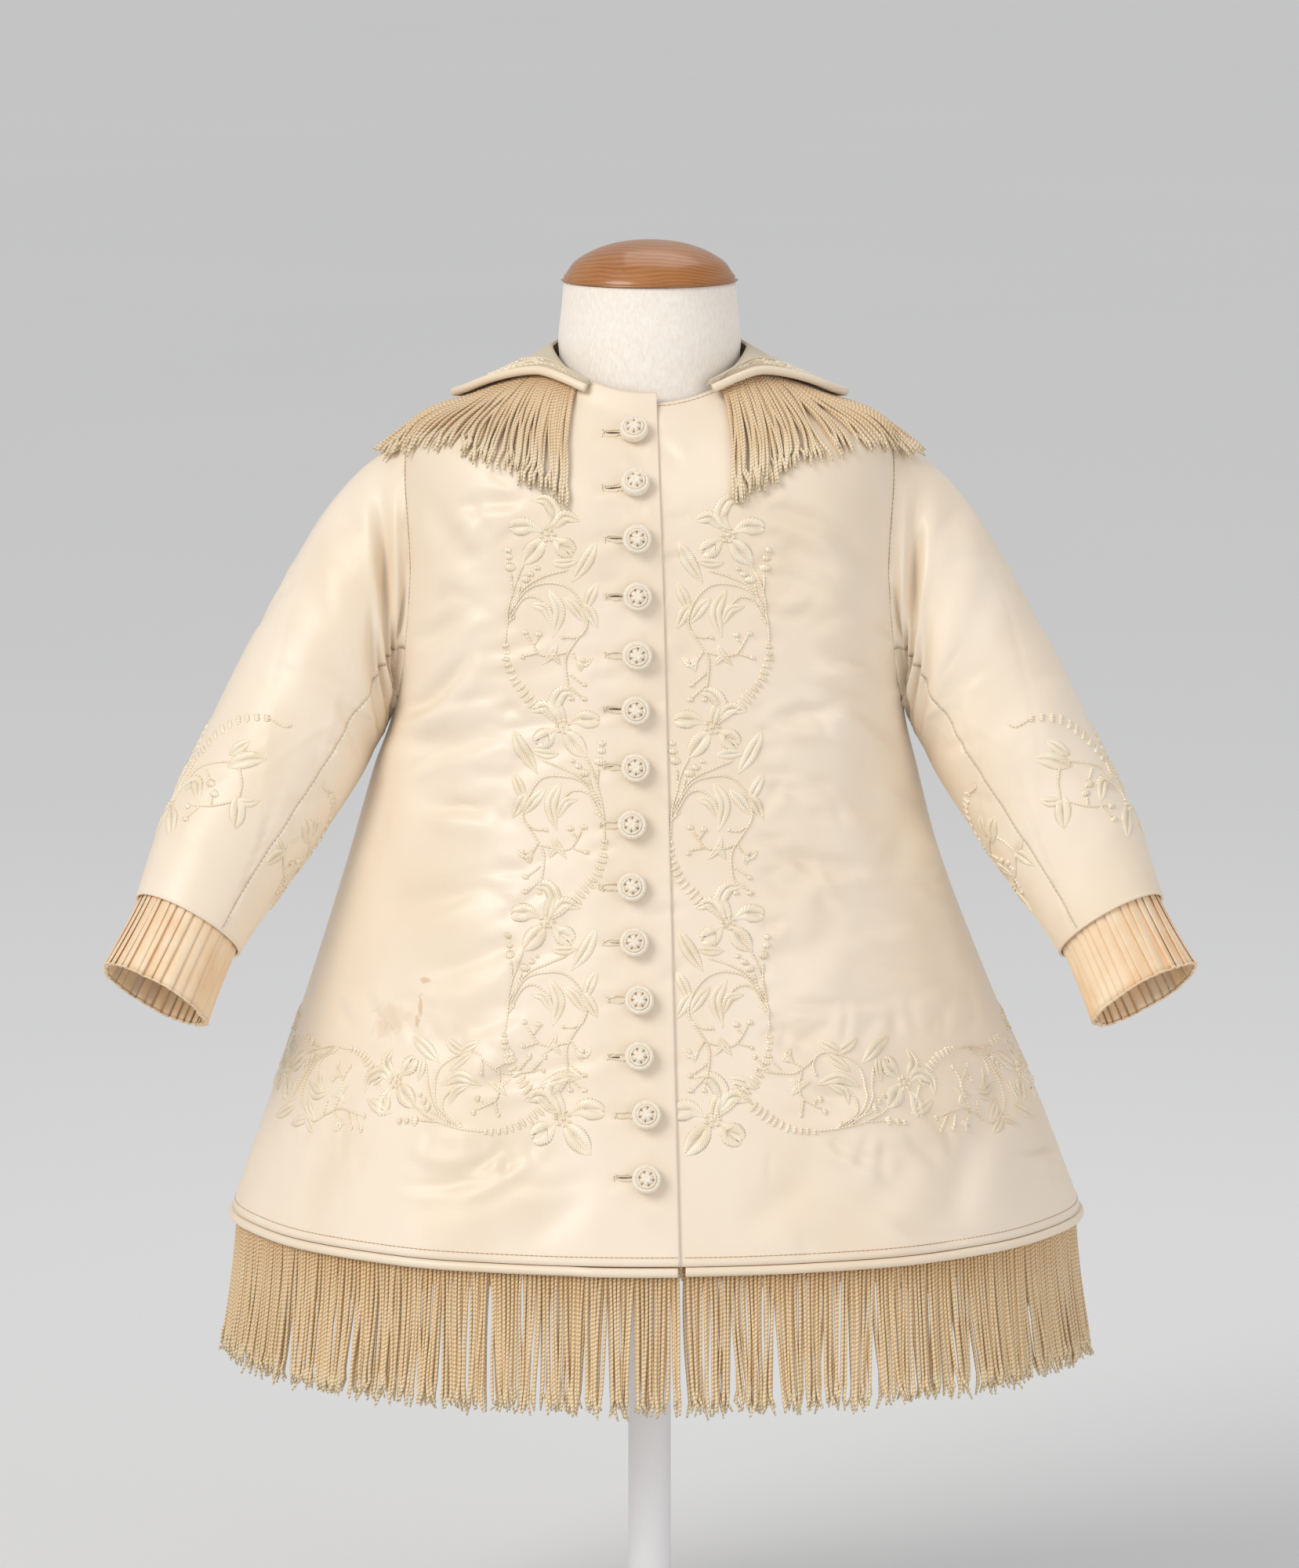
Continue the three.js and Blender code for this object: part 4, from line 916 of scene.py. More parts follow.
@dataclass(frozen=True)
class SilkSatin:
    """Silk satin, woven with long floats on its face: a soft, directional lustre over ivory."""

    name: str = "silk_satin_woven"
    colour: str = "f2e3cf"
    aged: str = "e9d5b9"
    roughness: float = 0.4
    sheen: float = 0.42
    stained: bool = False
    # Floats are 0.15 mm apart in the real cloth; drawn at 0.7 mm so that they show.
    float_spacing_mm: float = 0.7
    # centre x and z, half width and half height of each old stain, in millimetres
    stains: tuple[tuple[float, float, float, float], ...] = (
        (-112.8, 385.5, 2.6, 1.5), (-114.6, 372.0, 1.3, 5.0), (-116.2, 365.0, 1.2, 3.2),
        (-128.0, 366.0, 8.5, 6.5), (-133.5, 359.0, 5.0, 4.0),
    )

    def make(self) -> Material:
        """Builds the material."""
        surface = Surface(self.name)
        tone = surface.noise((70, 70, 110), 3)
        floats = surface.noise((self.float_spacing_mm, self.float_spacing_mm, 26), 2)
        weft = surface.noise((16, 16, 1.1), 1)
        colour = surface.blend(surface.ease(tone, 0.38, 0.72, (0.0, 0.85)), self.colour, self.aged)
        colour = surface.blend(surface.math("MULTIPLY", floats, 0.16), colour, "f6eddc")
        if self.stained:
            x, y, z = surface.split(surface.where)
            front = surface.math("LESS_THAN", y, 0.0)
            ragged = surface.ease(surface.noise((3, 3, 3), 2), 0.3, 0.7, (0.4, 1.5))
            for index, (cx, cz, wide, high) in enumerate(self.stains):
                across = surface.math("DIVIDE", surface.math("SUBTRACT", x, cx * METRES), wide * METRES)
                down = surface.math("DIVIDE", surface.math("SUBTRACT", z, cz * METRES), high * METRES)
                far = surface.math("ADD", surface.squared(across), surface.squared(down))
                strength = 0.5 if index < 3 else 0.2
                spot = surface.ease(surface.math("MULTIPLY", far, ragged), 0.3, 1.2, (strength, 0.0))
                colour = surface.blend(surface.math("MULTIPLY", spot, front), colour, "c99f6c")
        surface.bump(surface.noise((24, 24, 8), 3), 0.4, 0.2)
        surface.bump(floats, 0.05, 0.5)
        surface.bump(weft, 0.06, 0.35)
        roughness = surface.ease(floats, 0.3, 0.7, (self.roughness - 0.05, self.roughness + 0.07))
        return surface.finish(colour, roughness, IOR=1.5, Sheen_Weight=self.sheen, Sheen_Roughness=0.35,
                              Sheen_Tint=linear("fff3df"), Specular_IOR_Level=0.48)


@dataclass(frozen=True)
class PleatedSilk:
    """Fine plain-woven silk, pressed in pleats: thin, peach and nearly matt."""

    name: str = "plain_silk_pressed"

    def make(self) -> Material:
        """Builds the material; a little light comes through the thin cloth."""
        surface = Surface(self.name)
        tone = surface.noise((14, 14, 22), 3)
        colour = surface.blend(surface.ease(tone, 0.35, 0.7), "fcddba", "f4c99e")
        surface.bump(surface.noise((5, 5, 8), 2), 0.3, 0.2)
        surface.bump(surface.noise((0.7, 0.7, 0.7), 1), 0.05, 0.4)
        return surface.finish(colour, 0.5, IOR=1.5, Sheen_Weight=0.3, Sheen_Roughness=0.4,
                              Subsurface_Weight=0.25, Subsurface_Radius=(1.0, 0.6, 0.35),
                              Subsurface_Scale=0.002)


@dataclass(frozen=True)
class SilkCord:
    """Fringe of two-ply twisted silk on gold, each turn of twist a groove: painted shade in the groove, a
    painted highlight on the bead.
    """

    name: str = "silk_cord_twisted"
    root: str = "d9ab6e"
    middle: str = "ebcb9a"
    tip: str = "f3e0ba"
    length_mm: float = 72.0
    # The real twist is about 1.2 mm; drawn at 2.1 mm so that its beads show.
    twist_mm: float = 2.1

    def make(self) -> Material:
        """Builds the material from the strands' own length, turn and chance."""
        surface = Surface(self.name)
        turn, run, chance = surface.attribute("strand")
        phase = surface.math("ADD", surface.math("DIVIDE", run, self.twist_mm), turn)
        phase = surface.math("ADD", phase, surface.math("MULTIPLY", chance, 7.0))
        wave = surface.math("SINE", surface.math("MULTIPLY", phase, 2 * math.pi))
        bead = surface.ease(wave, -1, 1)
        share = surface.math("DIVIDE", run, self.length_mm)
        colour = surface.blend(surface.ease(share, 0.0, 0.35), self.root, self.middle)
        colour = surface.blend(surface.ease(share, 0.8, 1.0), colour, self.tip)
        colour = surface.blend(surface.ease(chance, 0.0, 1.0, (0.0, 0.4)), colour, "ecd6b0")
        # Painted shade in each turn's groove, and a painted highlight on each bead's crest.
        colour = surface.blend(surface.ease(bead, 0.0, 0.5, (0.5, 0.0)), colour, "b78a50")
        colour = surface.blend(surface.ease(bead, 0.78, 1.0, (0.0, 0.45)), colour, "fbf1d8")
        surface.bump(bead, 0.45, 0.8)
        return surface.finish(colour, 0.42, IOR=1.5, Sheen_Weight=0.4, Sheen_Roughness=0.3,
                              Specular_IOR_Level=0.6)


@dataclass(frozen=True)
class SilkFloss:
    """Loosely twisted embroidery floss, laid in satin stitch: pale cream, bright on its ridges, with painted
    shade in the rows between them.
    """

    name: str = "silk_floss_stitched"
    colour: str = "fff4de"
    shade: str = "f6e6c9"
    ink: str = "7fa9ac"

    def make(self) -> Material:
        """Builds the material; traces of the pattern's blue ink show at the stitches' ends."""
        surface = Surface(self.name)
        edge, ridge_shade, _ = surface.attribute("stitch")
        tone = surface.ease(surface.noise((11, 11, 11), 2), 0.35, 0.68)
        colour = surface.blend(tone, self.colour, self.shade)
        # Painted shade: the rows between the stitches' crests are darkened.
        colour = surface.blend(surface.ease(ridge_shade, 0.0, 0.7, (0.42, 0.0)), colour, "c2a47c")
        patches = surface.ease(surface.noise((7, 7, 7), 2), 0.55, 0.68)
        ink = surface.math("MULTIPLY", surface.ease(edge, 0.8, 1.0, (0.0, 0.2)), patches)
        colour = surface.blend(ink, colour, self.ink)
        surface.bump(surface.noise((0.5, 0.5, 0.5), 1), 0.08, 0.35)
        return surface.finish(colour, 0.36, IOR=1.5, Sheen_Weight=0.4, Sheen_Roughness=0.3,
                              Specular_IOR_Level=0.55)


@dataclass(frozen=True)
class CrochetedSilk:
    """Crocheted silk thread over a mould: small round stitches, cream with warm painted shade in its hollows
    and between its stitches.
    """

    name: str = "silk_thread_crocheted"
    colour: str = "f4ead8"
    hollow_shade: str = "bf9d74"
    # A crochet stitch of this thread is about 0.8 mm.
    stitch_mm: float = 0.8

    def make(self) -> Material:
        """Builds the material; the attribute carries the button's painted shade, low in its grooves and
        between its petals.
        """
        surface = Surface(self.name)
        _, ridge_shade, _ = surface.attribute("stitch")
        scale = (1000 / self.stitch_mm,) * 3
        mapped = surface.add("Mapping", {"Scale": scale}, {"Vector": surface.where}).outputs[0]
        node = surface.add("TexVoronoi", {"Scale": 1.0, "feature": "SMOOTH_F1"}, {"Vector": mapped})
        cells = node.outputs["Distance"]
        # Painted shade: warm brown where the button's shade value is low, in its grooves and between its
        # petals.
        colour = surface.blend(surface.ease(ridge_shade, 0.15, 0.75), self.hollow_shade, self.colour)
        # Painted shade at the edges of each crochet stitch.
        colour = surface.blend(surface.ease(cells, 0.3, 0.75, (0.0, 0.3)), colour, self.hollow_shade)
        surface.bump(cells, -0.25, 0.6)
        return surface.finish(colour, 0.5, IOR=1.5, Sheen_Weight=0.4, Sheen_Roughness=0.4)


@dataclass(frozen=True)
class CottonJersey:
    """Cotton jersey, knitted and stretched over padding: matt cream with fine vertical wales."""

    name: str = "cotton_jersey_knitted"
    # Wales are 0.7 mm apart in the real cloth; drawn at 1.3 mm so that they show.
    wale_mm: float = 1.3

    def make(self) -> Material:
        """Builds the material."""
        surface = Surface(self.name)
        wales = surface.noise((self.wale_mm, self.wale_mm, 3.4), 1)
        courses = surface.noise((2.6, 2.6, self.wale_mm), 1)
        colour = surface.blend(surface.ease(wales, 0.3, 0.7), "f0e6da", "f8f1e8")
        surface.bump(wales, 0.25, 0.45)
        surface.bump(courses, 0.15, 0.3)
        return surface.finish(colour, 0.85, IOR=1.5, Sheen_Weight=0.5, Sheen_Roughness=0.5,
                              Specular_IOR_Level=0.25)


@dataclass(frozen=True)
class TurnedBeech:
    """Beech, turned and varnished: orange-brown with fine flecks and a clear gloss."""

    name: str = "beech_turned_varnished"

    def make(self) -> Material:
        """Builds the material; the rings run front to back and bend over the turned dome."""
        surface = Surface(self.name)
        warp = surface.noise((60, 60, 30), 2)
        x, y, z = surface.split(surface.where)
        along = surface.math("ADD", surface.math("MULTIPLY", y, 0.55), surface.math("MULTIPLY", z, 2.6))
        rings = surface.math("ADD", along, surface.math("MULTIPLY", warp, 0.035))
        rings = surface.math("ADD", rings, surface.math("MULTIPLY", surface.squared(x), 3.0))
        wave = surface.ease(surface.math("SINE", surface.math("MULTIPLY", rings, 1150.0)), -1, 1)
        flecks = surface.noise((9, 0.9, 0.9), 2)
        colour = surface.blend(wave, "ad7034", "995a24")
        colour = surface.blend(surface.ease(flecks, 0.56, 0.7, (0.0, 0.4)), colour, "7a4724")
        patches = surface.ease(surface.noise((30, 30, 30), 2), 0.4, 0.7, (0, 0.35))
        colour = surface.blend(patches, colour, "b7834c")
        surface.bump(flecks, 0.05, 0.3)
        return surface.finish(colour, 0.4, IOR=1.5, Coat_Weight=0.5, Coat_Roughness=0.14)


@dataclass(frozen=True)
class PaintedSteel:
    """Steel tube, sprayed in pale grey satin paint: smooth, with a faint orange peel."""

    name: str = "steel_painted_satin"

    def make(self) -> Material:
        """Builds the material."""
        surface = Surface(self.name)
        surface.bump(surface.noise((1.6, 1.6, 1.6), 1), 0.03, 0.3)
        colour = surface.blend(surface.ease(surface.noise((40, 40, 90), 2), 0.3, 0.7), "f6f6f8", "f3f3f5")
        return surface.finish(colour, 0.42, IOR=1.5)


@dataclass(frozen=True)
class PlainCloth:
    """A plain colour of thread or of cloth in shade, with a little noise in tone and relief."""

    name: str
    colour: str
    other: str
    roughness: float = 0.6

    def make(self) -> Material:
        """Builds the material."""
        surface = Surface(self.name)
        colour = surface.blend(surface.ease(surface.noise((2, 2, 2), 2), 0.3, 0.7), self.colour, self.other)
        surface.bump(surface.noise((0.6, 0.6, 0.6), 1), 0.06, 0.4)
        return surface.finish(colour, self.roughness, IOR=1.5, Sheen_Weight=0.2)


def made(finish: Callable, *values: str | float, **named: bool) -> Material:
    """A dataclass field that holds a finish's material, made when its owner is."""
    return field(default_factory=lambda: finish(*values, **named).make())


@dataclass
class Finishes:
    """Every finish of the object, made once."""

    satin: Material = made(SilkSatin, stained=True)
    # The collar's satin is a darker copy of the body's satin: painted shade.
    collar: Material = made(SilkSatin, "silk_satin_collar", "cdc1ab", "beb097", 0.46, 0.3)
    piping: Material = made(SilkSatin, "silk_satin_bias_cut", "efdfc8", "e8d2b4", 0.38, 0.35)
    pleats: Material = made(PleatedSilk)
    cord: Material = made(SilkCord)
    collar_cord: Material = made(SilkCord, "silk_cord_twisted_short", "cf9b64", "ebcda2", "f6e4c4",
                                           60.0)
    floss: Material = made(SilkFloss)
    crochet: Material = made(CrochetedSilk)
    jersey: Material = made(CottonJersey)
    beech: Material = made(TurnedBeech)
    paint: Material = made(PaintedSteel)
    thread: Material = made(PlainCloth, "silk_sewing_thread", "c9a986", "b8926c")
    slit: Material = made(PlainCloth, "satin_in_deep_shade", "6e5236", "4d3824", 0.8)


def keep(piece: Object, slot: str, *nodes: str) -> Object:
    """Makes a piece part of the object and reports it.

    Args:
        piece: The piece, in place.
        slot: The record's material slot meant for its finish; not used.
        nodes: The CAD nodes that it stands for.

    Returns:
        The same piece.
    """
    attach(piece, BODY)
    if nodes:
        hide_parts(*nodes)
    LOG.info("%s: %d faces, %.4f m2", piece.name, len(piece.data.polygons), area_of(piece))
    return piece


# ---------------------------------------------------------------- the coat's cloth


@dataclass
class CoatPanels:
    """The coat's body: two lapped fronts and one back."""

    finishes: Finishes
    front_columns: int = 141
    back_columns: int = 171
    wall: float = SATIN_WALL

    @staticmethod
    def stations(skirt: int, armhole: int, yoke: int) -> Array:
        """Girth stations from hem to neck, closer together at the armhole's ends."""
        middle = ARMHOLE_AT - ARMHOLE_REACH * np.cos(np.linspace(0, math.pi, armhole))
        above = np.linspace(SHOULDER_TIP, NECKLINE, yoke)
        return np.concatenate([np.linspace(HEM, UNDERARM, skirt), middle[1:], above[1:]])

    def panel(self, name: str, at: Array, first: Array, last: Array, columns: int, lapped: bool) -> Object:
        """Makes one panel.

        Args:
            name: The CAD node that the panel stands for.
            at: Stations of its rows.
            first: Angle of each row's start.
            last: Angle of each row's end.
            columns: Points across the panel.
            lapped: Whether it is the right front, which laps over.

        Returns:
            The piece.
        """
        share = np.linspace(0, 1, columns)
        angle = first[:, None] + (last - first)[:, None] * share
        point, normal = COAT.dressed(angle, at[:, None] + 0 * angle, lapped=lapped)
        if lapped:
            step = NECK_STEP * smooth(NECKLINE - 16, NECKLINE, at)[:, None]
            point[..., 2] += step * smooth(-52, -30, point[..., 0])
        parts = MeshParts()
        add_shell(parts, point, normal, self.wall)
        piece = keep(parts.build(f"satin_{name}", self.finishes.satin), "silk_satin", name)
        return piece

    def build(self) -> None:
        """Makes the three panels."""
        fine = self.stations(111, 61, 39)
        side = COAT.side_edge(fine, ARMHOLE_FRONT, -1)
        edge = COAT.angle_of_x(COAT.lapped_edge(fine), fine)
        self.panel("front_right", fine, -side, edge, self.front_columns, True)
        underlap = COAT.angle_of_x(np.full(fine.shape, UNDERLAP_EDGE), fine)
        self.panel("front_left", fine, underlap, side, self.front_columns, False)
        coarse = self.stations(91, 41, 25)
        side = COAT.side_edge(coarse, ARMHOLE_BACK, 1)
        self.panel("back", coarse, side, 360 - side, self.back_columns, False)


@dataclass
class Sleeves:
    """Two sleeves, each of an upper and an under piece with seams at the front and the back."""

    finishes: Finishes
    rows: int = 121
    upper_columns: int = 85
    under_columns: int = 43

    def piece(self, side: Side, name: str, first: float, last: float, columns: int, flat: tuple[float, float],
              area: float) -> None:
        """Makes one piece of a sleeve between two seams."""
        sleeve = SLEEVES[side]
        station = np.linspace(0, SLEEVE_END, self.rows)[:, None]
        inset = np.degrees(SEAM_INSET / np.interp(station, (0, SLEEVE_END), (62, 32)))
        turn = first + inset + (last - first - 2 * inset) * np.linspace(0, 1, columns)
        point, normal = sleeve.place(station + 0 * turn, turn)
        parts = MeshParts()
        add_shell(parts, point, normal, SATIN_WALL)
        made = keep(parts.build(f"satin_{name}", self.finishes.satin), "silk_satin", name)

    def build(self) -> None:
        """Makes both pieces of both sleeves."""
        for side in Side:
            self.piece(side, f"sleeve_upper_{side.label}", -120, 120, self.upper_columns, (0.24, 0.25), 0.043)
            self.piece(side, f"sleeve_under_{side.label}", 120, 240, self.under_columns, (0.11, 0.19), 0.0143)


@dataclass
class CuffFrills:
    """Knife-pleated frills inside the sleeve ends, with a looped edge."""

    finishes: Finishes
    pleats: int = 36
    wall: float = 0.26
    tuck: float = 5.0
    length: float = 40.0
    flare: float = 2.6
    inset: float = 0.75
    rows: int = 15
    seed: int = 5
    # One pleat's section: place across in pleats, and depth below the crest in millimetres.
    section: tuple[tuple[float, float], ...] = (
        (-0.5, -1.12), (-0.25, -1.05), (0.0, -0.85), (0.25, -0.42), (0.5, -0.18), (0.75, -0.05),
        (0.93, 0.0), (1.0, -0.14), (0.93, -0.34), (0.72, -0.5), (0.55, -0.66), (0.46, -0.88),
    )

    def surface(self, side: Side) -> Array:
        """The frill's middle, a grid of rows down the arm and points round every pleat."""
        rng = np.random.default_rng(self.seed + side.value)
        sleeve = SLEEVES[side]
        share = np.linspace(0, 1, self.rows)[:, None, None]
        along = -self.tuck + (self.length + self.tuck) * share
        free = np.clip(along / self.length, 0, 1)
        place, depth = np.array(self.section).T
        start = np.arange(self.pleats)[:, None] + rng.normal(0, 0.1, (self.pleats, 1))
        lean = rng.normal(0, 0.16, (self.pleats, 1)) * free
        open_out = 1 + rng.normal(0, 0.12, (self.pleats, 1))
        turn = (start + lean + place * open_out) * 360 / self.pleats
        drop = depth * (1.1 + 0.55 * free) * (1 + rng.normal(0, 0.15, (self.pleats, 1)) * free)
        wave = 1.3 * np.sin(np.radians(turn) * 5 + side.value) + 0.8 * np.sin(np.radians(turn) * 9)
        turn, drop, wave = (np.broadcast_to(a, (self.rows, self.pleats, len(place))).reshape(self.rows, -1)
                            for a in (turn, drop, wave))
        share, along, free = share[..., 0], along[..., 0], free[..., 0]
        centre, before = ((sleeve.point(at, 0.0) + sleeve.point(at, 180.0)) / 2
                          for at in (SLEEVE_END, SLEEVE_END - 1))
        axis = unit(centre - before)
        out = sleeve.point(SLEEVE_END, turn) - centre
        swing = free ** 1.6 * (self.flare - 0.6 + 0.5 * wave)
        reach = np.linalg.norm(out, axis=-1) - FACE - self.inset + drop + swing
        return centre + axis * along[..., None] + unit(out) * reach[..., None]

    def build(self) -> None:
        """Makes both frills."""
        for side in Side:
            middle = self.surface(side)
            across = np.roll(middle, -1, axis=1) - np.roll(middle, 1, axis=1)
            down = np.gradient(middle, axis=0)
            normal = unit(np.cross(across, down))
            both = np.concatenate([middle + normal * self.wall / 2, (middle - normal * self.wall / 2)[::-1]])
            index = np.arange(both.shape[0] * both.shape[1]).reshape(both.shape[:2])
            after = np.roll(index, -1, axis=1)
            quads = np.stack([index, after, np.roll(after, -1, axis=0), np.roll(index, -1, axis=0)], axis=-1)
            parts = MeshParts()
            parts.add(both, [quads.reshape(-1, 4)], strand=np.zeros(both.shape))
            self.loops(parts, middle[-1], normal[-1])
            name = f"cuff_frill_{side.label}"
            piece = keep(parts.build(f"pleated_{name}", self.finishes.pleats), "pleated_silk", name)

    @staticmethod
    def loops(parts: MeshParts, edge: Array, normal: Array) -> None:
        """Adds the thread that is overcast in small loops along the free edge."""
        closed, facing = (np.concatenate([a, a[:1]]) for a in (edge, normal))
        count = int(run_along(closed)[-1] / 1.45) * 3
        line, facing = respaced(count, closed, facing)
        radius = 0.42 + 0.3 * np.sin(np.arange(count) * 2 * math.pi / 3) ** 2
        add_tubes(parts, line[None], facing[None], radius[None], CORD_SIDES)


@dataclass
class Collar:
    """The flat cape collar and the covered cord round its edge."""

    finishes: Finishes
    columns: int = 241
    rows: int = 33
    wall: float = 1.2

    @staticmethod
    def cord_line(turn: Array, lift: float) -> tuple[Array, Array]:
        """Line of the covered cord past the free edge, and the normals along it."""
        edge, normal = COLLAR.place(turn, np.ones(turn.shape))
        along = unit(np.gradient(edge, axis=0))
        outward = unit(np.cross(along, normal))
        if dot(outward, edge - COLLAR.point(turn, 0.9)).sum() < 0:
            outward = -outward
        return edge + outward * lift, normal

    def build(self) -> None:
        """Makes the collar and its cord."""
        turn = np.linspace(COLLAR.front, 360 - COLLAR.front, self.columns)
        reach = np.linspace(0, 1, self.rows) ** 0.85
        point, normal = COLLAR.place(turn[None] + 0 * reach[:, None], reach[:, None] + 0 * turn[None])
        parts = MeshParts()
        add_shell(parts, point, normal, self.wall)
        piece = keep(parts.build("satin_collar", self.finishes.collar), "silk_satin", "collar")
        line, facing = self.cord_line(np.linspace(COLLAR.front, 360 - COLLAR.front, 361),
                                      COLLAR_PIPING_RADIUS + SEAM_GAP)
        parts = MeshParts()
        add_tubes(parts, line[None], facing[None], COLLAR_PIPING_RADIUS, PIPING_SIDES)
        keep(parts.build("cord_collar", self.finishes.piping), "satin_piping", "collar_piping")


@dataclass(frozen=True)
class HemRun:
    """One panel's stretch of the hem, with its trimmings' place along it."""

    label: str
    first: float
    last: float

    @staticmethod
    def runs() -> list["HemRun"]:
        """The three stretches: right front, left front and back."""
        side_front = float(COAT.side_edge(np.array(HEM), ARMHOLE_FRONT, -1))
        side_back = float(COAT.side_edge(np.array(HEM), ARMHOLE_BACK, 1))
        lap = [float(COAT.angle_of_x(np.array(x), np.array(HEM))) for x in (EDGE_AT_HEM, EDGE_AT_HEM + 1.5)]
        return [HemRun("right", -side_front, lap[0]), HemRun("left", lap[1], side_front),
                HemRun("back", side_back, 360 - side_back)]

    def line(self, count: int, inset: float = 0.0) -> tuple[Array, Array, Array]:
        """Places spread evenly along the stretch.

        Args:
            count: How many places.
            inset: How far inside the cloth they lie.

        Returns:
            The places, their outward normals and the directions along the hem, all level.
        """
        angle = np.linspace(self.first, self.last, count * 2)
        point, normal = COAT.place(angle, HEM)
        if self.label == "right":
            point = point + normal * (OVERLAP_LIFT * lap_share(point[:, 0]))[:, None]
        point, level = respaced(count, point - normal * inset, normal * [1, 1, 0])
        return point, unit(level), unit(np.gradient(point, axis=0) * [1, 1, 0])


@dataclass
class HemTrim:
    """Covered cord and fringe of twisted cords along the hem."""

    finishes: Finishes
    spacing: float = 1.12
    length: float = 72.0
    flare: float = 8.0
    radius: float = 0.9
    segments: int = 13
    heading_height: float = 5.5
    uneven: float = 1.5
    # how far the lower layer stands out from the strip's line, and the upper layer from the lower
    stand_off: float = 0.3
    layer_gap: float = 1.15
    root_drop: float = 1.8
    seed: int = 21

    def build(self) -> None:
        """Makes the cord and the fringe of each stretch."""
        for run in HemRun.runs():
            self.cord(run)
            self.fringe(run)

    def cord(self, run: HemRun) -> None:
        """Makes a stretch of the covered cord."""
        point, normal, _ = run.line(241)
        point = point[1:-1].copy()
        point[:, 2] = HEM - PIPING_RADIUS - SEAM_GAP
        parts = MeshParts()
        add_tubes(parts, point[None], normal[None, 1:-1], PIPING_RADIUS, PIPING_SIDES)
        piece = parts.build(f"cord_hem_{run.label}", self.finishes.piping)
        keep(piece, "satin_piping", f"hem_piping_{run.label}")

    def fringe(self, run: HemRun) -> None:
        """Makes a stretch of the fringe: two staggered layers of cords whose locks lean together."""
        rng = np.random.default_rng(self.seed + len(run.label))
        total = path_length(run.line(201, 4.0)[0])
        count = int(total / self.spacing)
        root, normal, across = (a[1:-1] for a in run.line(count + 2, HEADING_INSET))
        share = np.linspace(0, 1, self.segments + 1)[None, :, None]
        layer = (np.arange(count) % 2)[:, None, None]
        length = self.length + rng.normal(0, self.uneven, (count, 1, 1)) - self.uneven * layer
        place = np.arange(count) * self.spacing
        lock = self.locks(place, rng)[:, None, None]
        sway = rng.normal(0, 0.8, (count, 1, 1)) * share ** 1.3 + lock * share ** 1.4
        bend = rng.normal(0, 0.5, (count, 1, 1)) * np.sin(share * math.pi * (1 + rng.random((count, 1, 1))))
        out = self.stand_off + self.layer_gap * layer + self.flare * share ** 1.5
        out = out + rng.normal(0, 0.7, (count, 1, 1)) * share
        path = root[:, None] + normal[:, None] * out + across[:, None] * (sway + bend)
        path[..., 2] = (HEM - self.root_drop - length * share)[..., 0]
        curl = rng.normal(0, 1.5, (count, 1, 3)) * [1, 1, 0.3] * (share > 0.95) + rng.normal(
            0, 0.5, (count, 1, 3)) * [1, 1, 0.2] * (share > 0.88)
        path = path + curl
        radius = self.radius * (1 + rng.normal(0, 0.08, (count, 1)))
        size = cord_sizes(radius, share[..., 0], (0.9, 1.12), 0.55)
        parts = MeshParts()
        add_tubes(parts, path, normal[:, None] + 0 * path, size, CORD_SIDES, rng.random(count))
        self.heading(parts, run)
        piece = parts.build(f"fringe_cords_{run.label}", self.finishes.cord)
        keep(piece, "silk_fringe", f"fringe_hem_{run.label}")

    @staticmethod
    def locks(place: Array, rng: np.random.Generator) -> Array:
        """How far each cord's tip leans to its lock's middle, by its place along the hem."""
        edges = [0.0]
        while edges[-1] < place[-1] + 20:
            edges.append(edges[-1] + rng.uniform(5.5, 15))
        edges = np.array(edges)
        index = np.searchsorted(edges, place, side="right") - 1
        middle = (edges[index] + edges[index + 1]) / 2
        shift = rng.normal(0, 1.2, len(edges))[index]
        return (middle - place) * rng.uniform(0.05, 0.4, len(edges))[index] + shift

    def heading(self, parts: MeshParts, run: HemRun) -> None:
        """Adds the woven strip behind the cords' upper ends."""
        point, normal, _ = run.line(121, HEADING_INSET)
        grid, facing = (np.repeat(a[None], 3, axis=0) for a in (point, normal))
        grid[..., 2] = HEM - SEAM_GAP - self.heading_height * np.array([[0], [0.5], [1]])
        add_heading(parts, grid - facing * 0.9, facing)


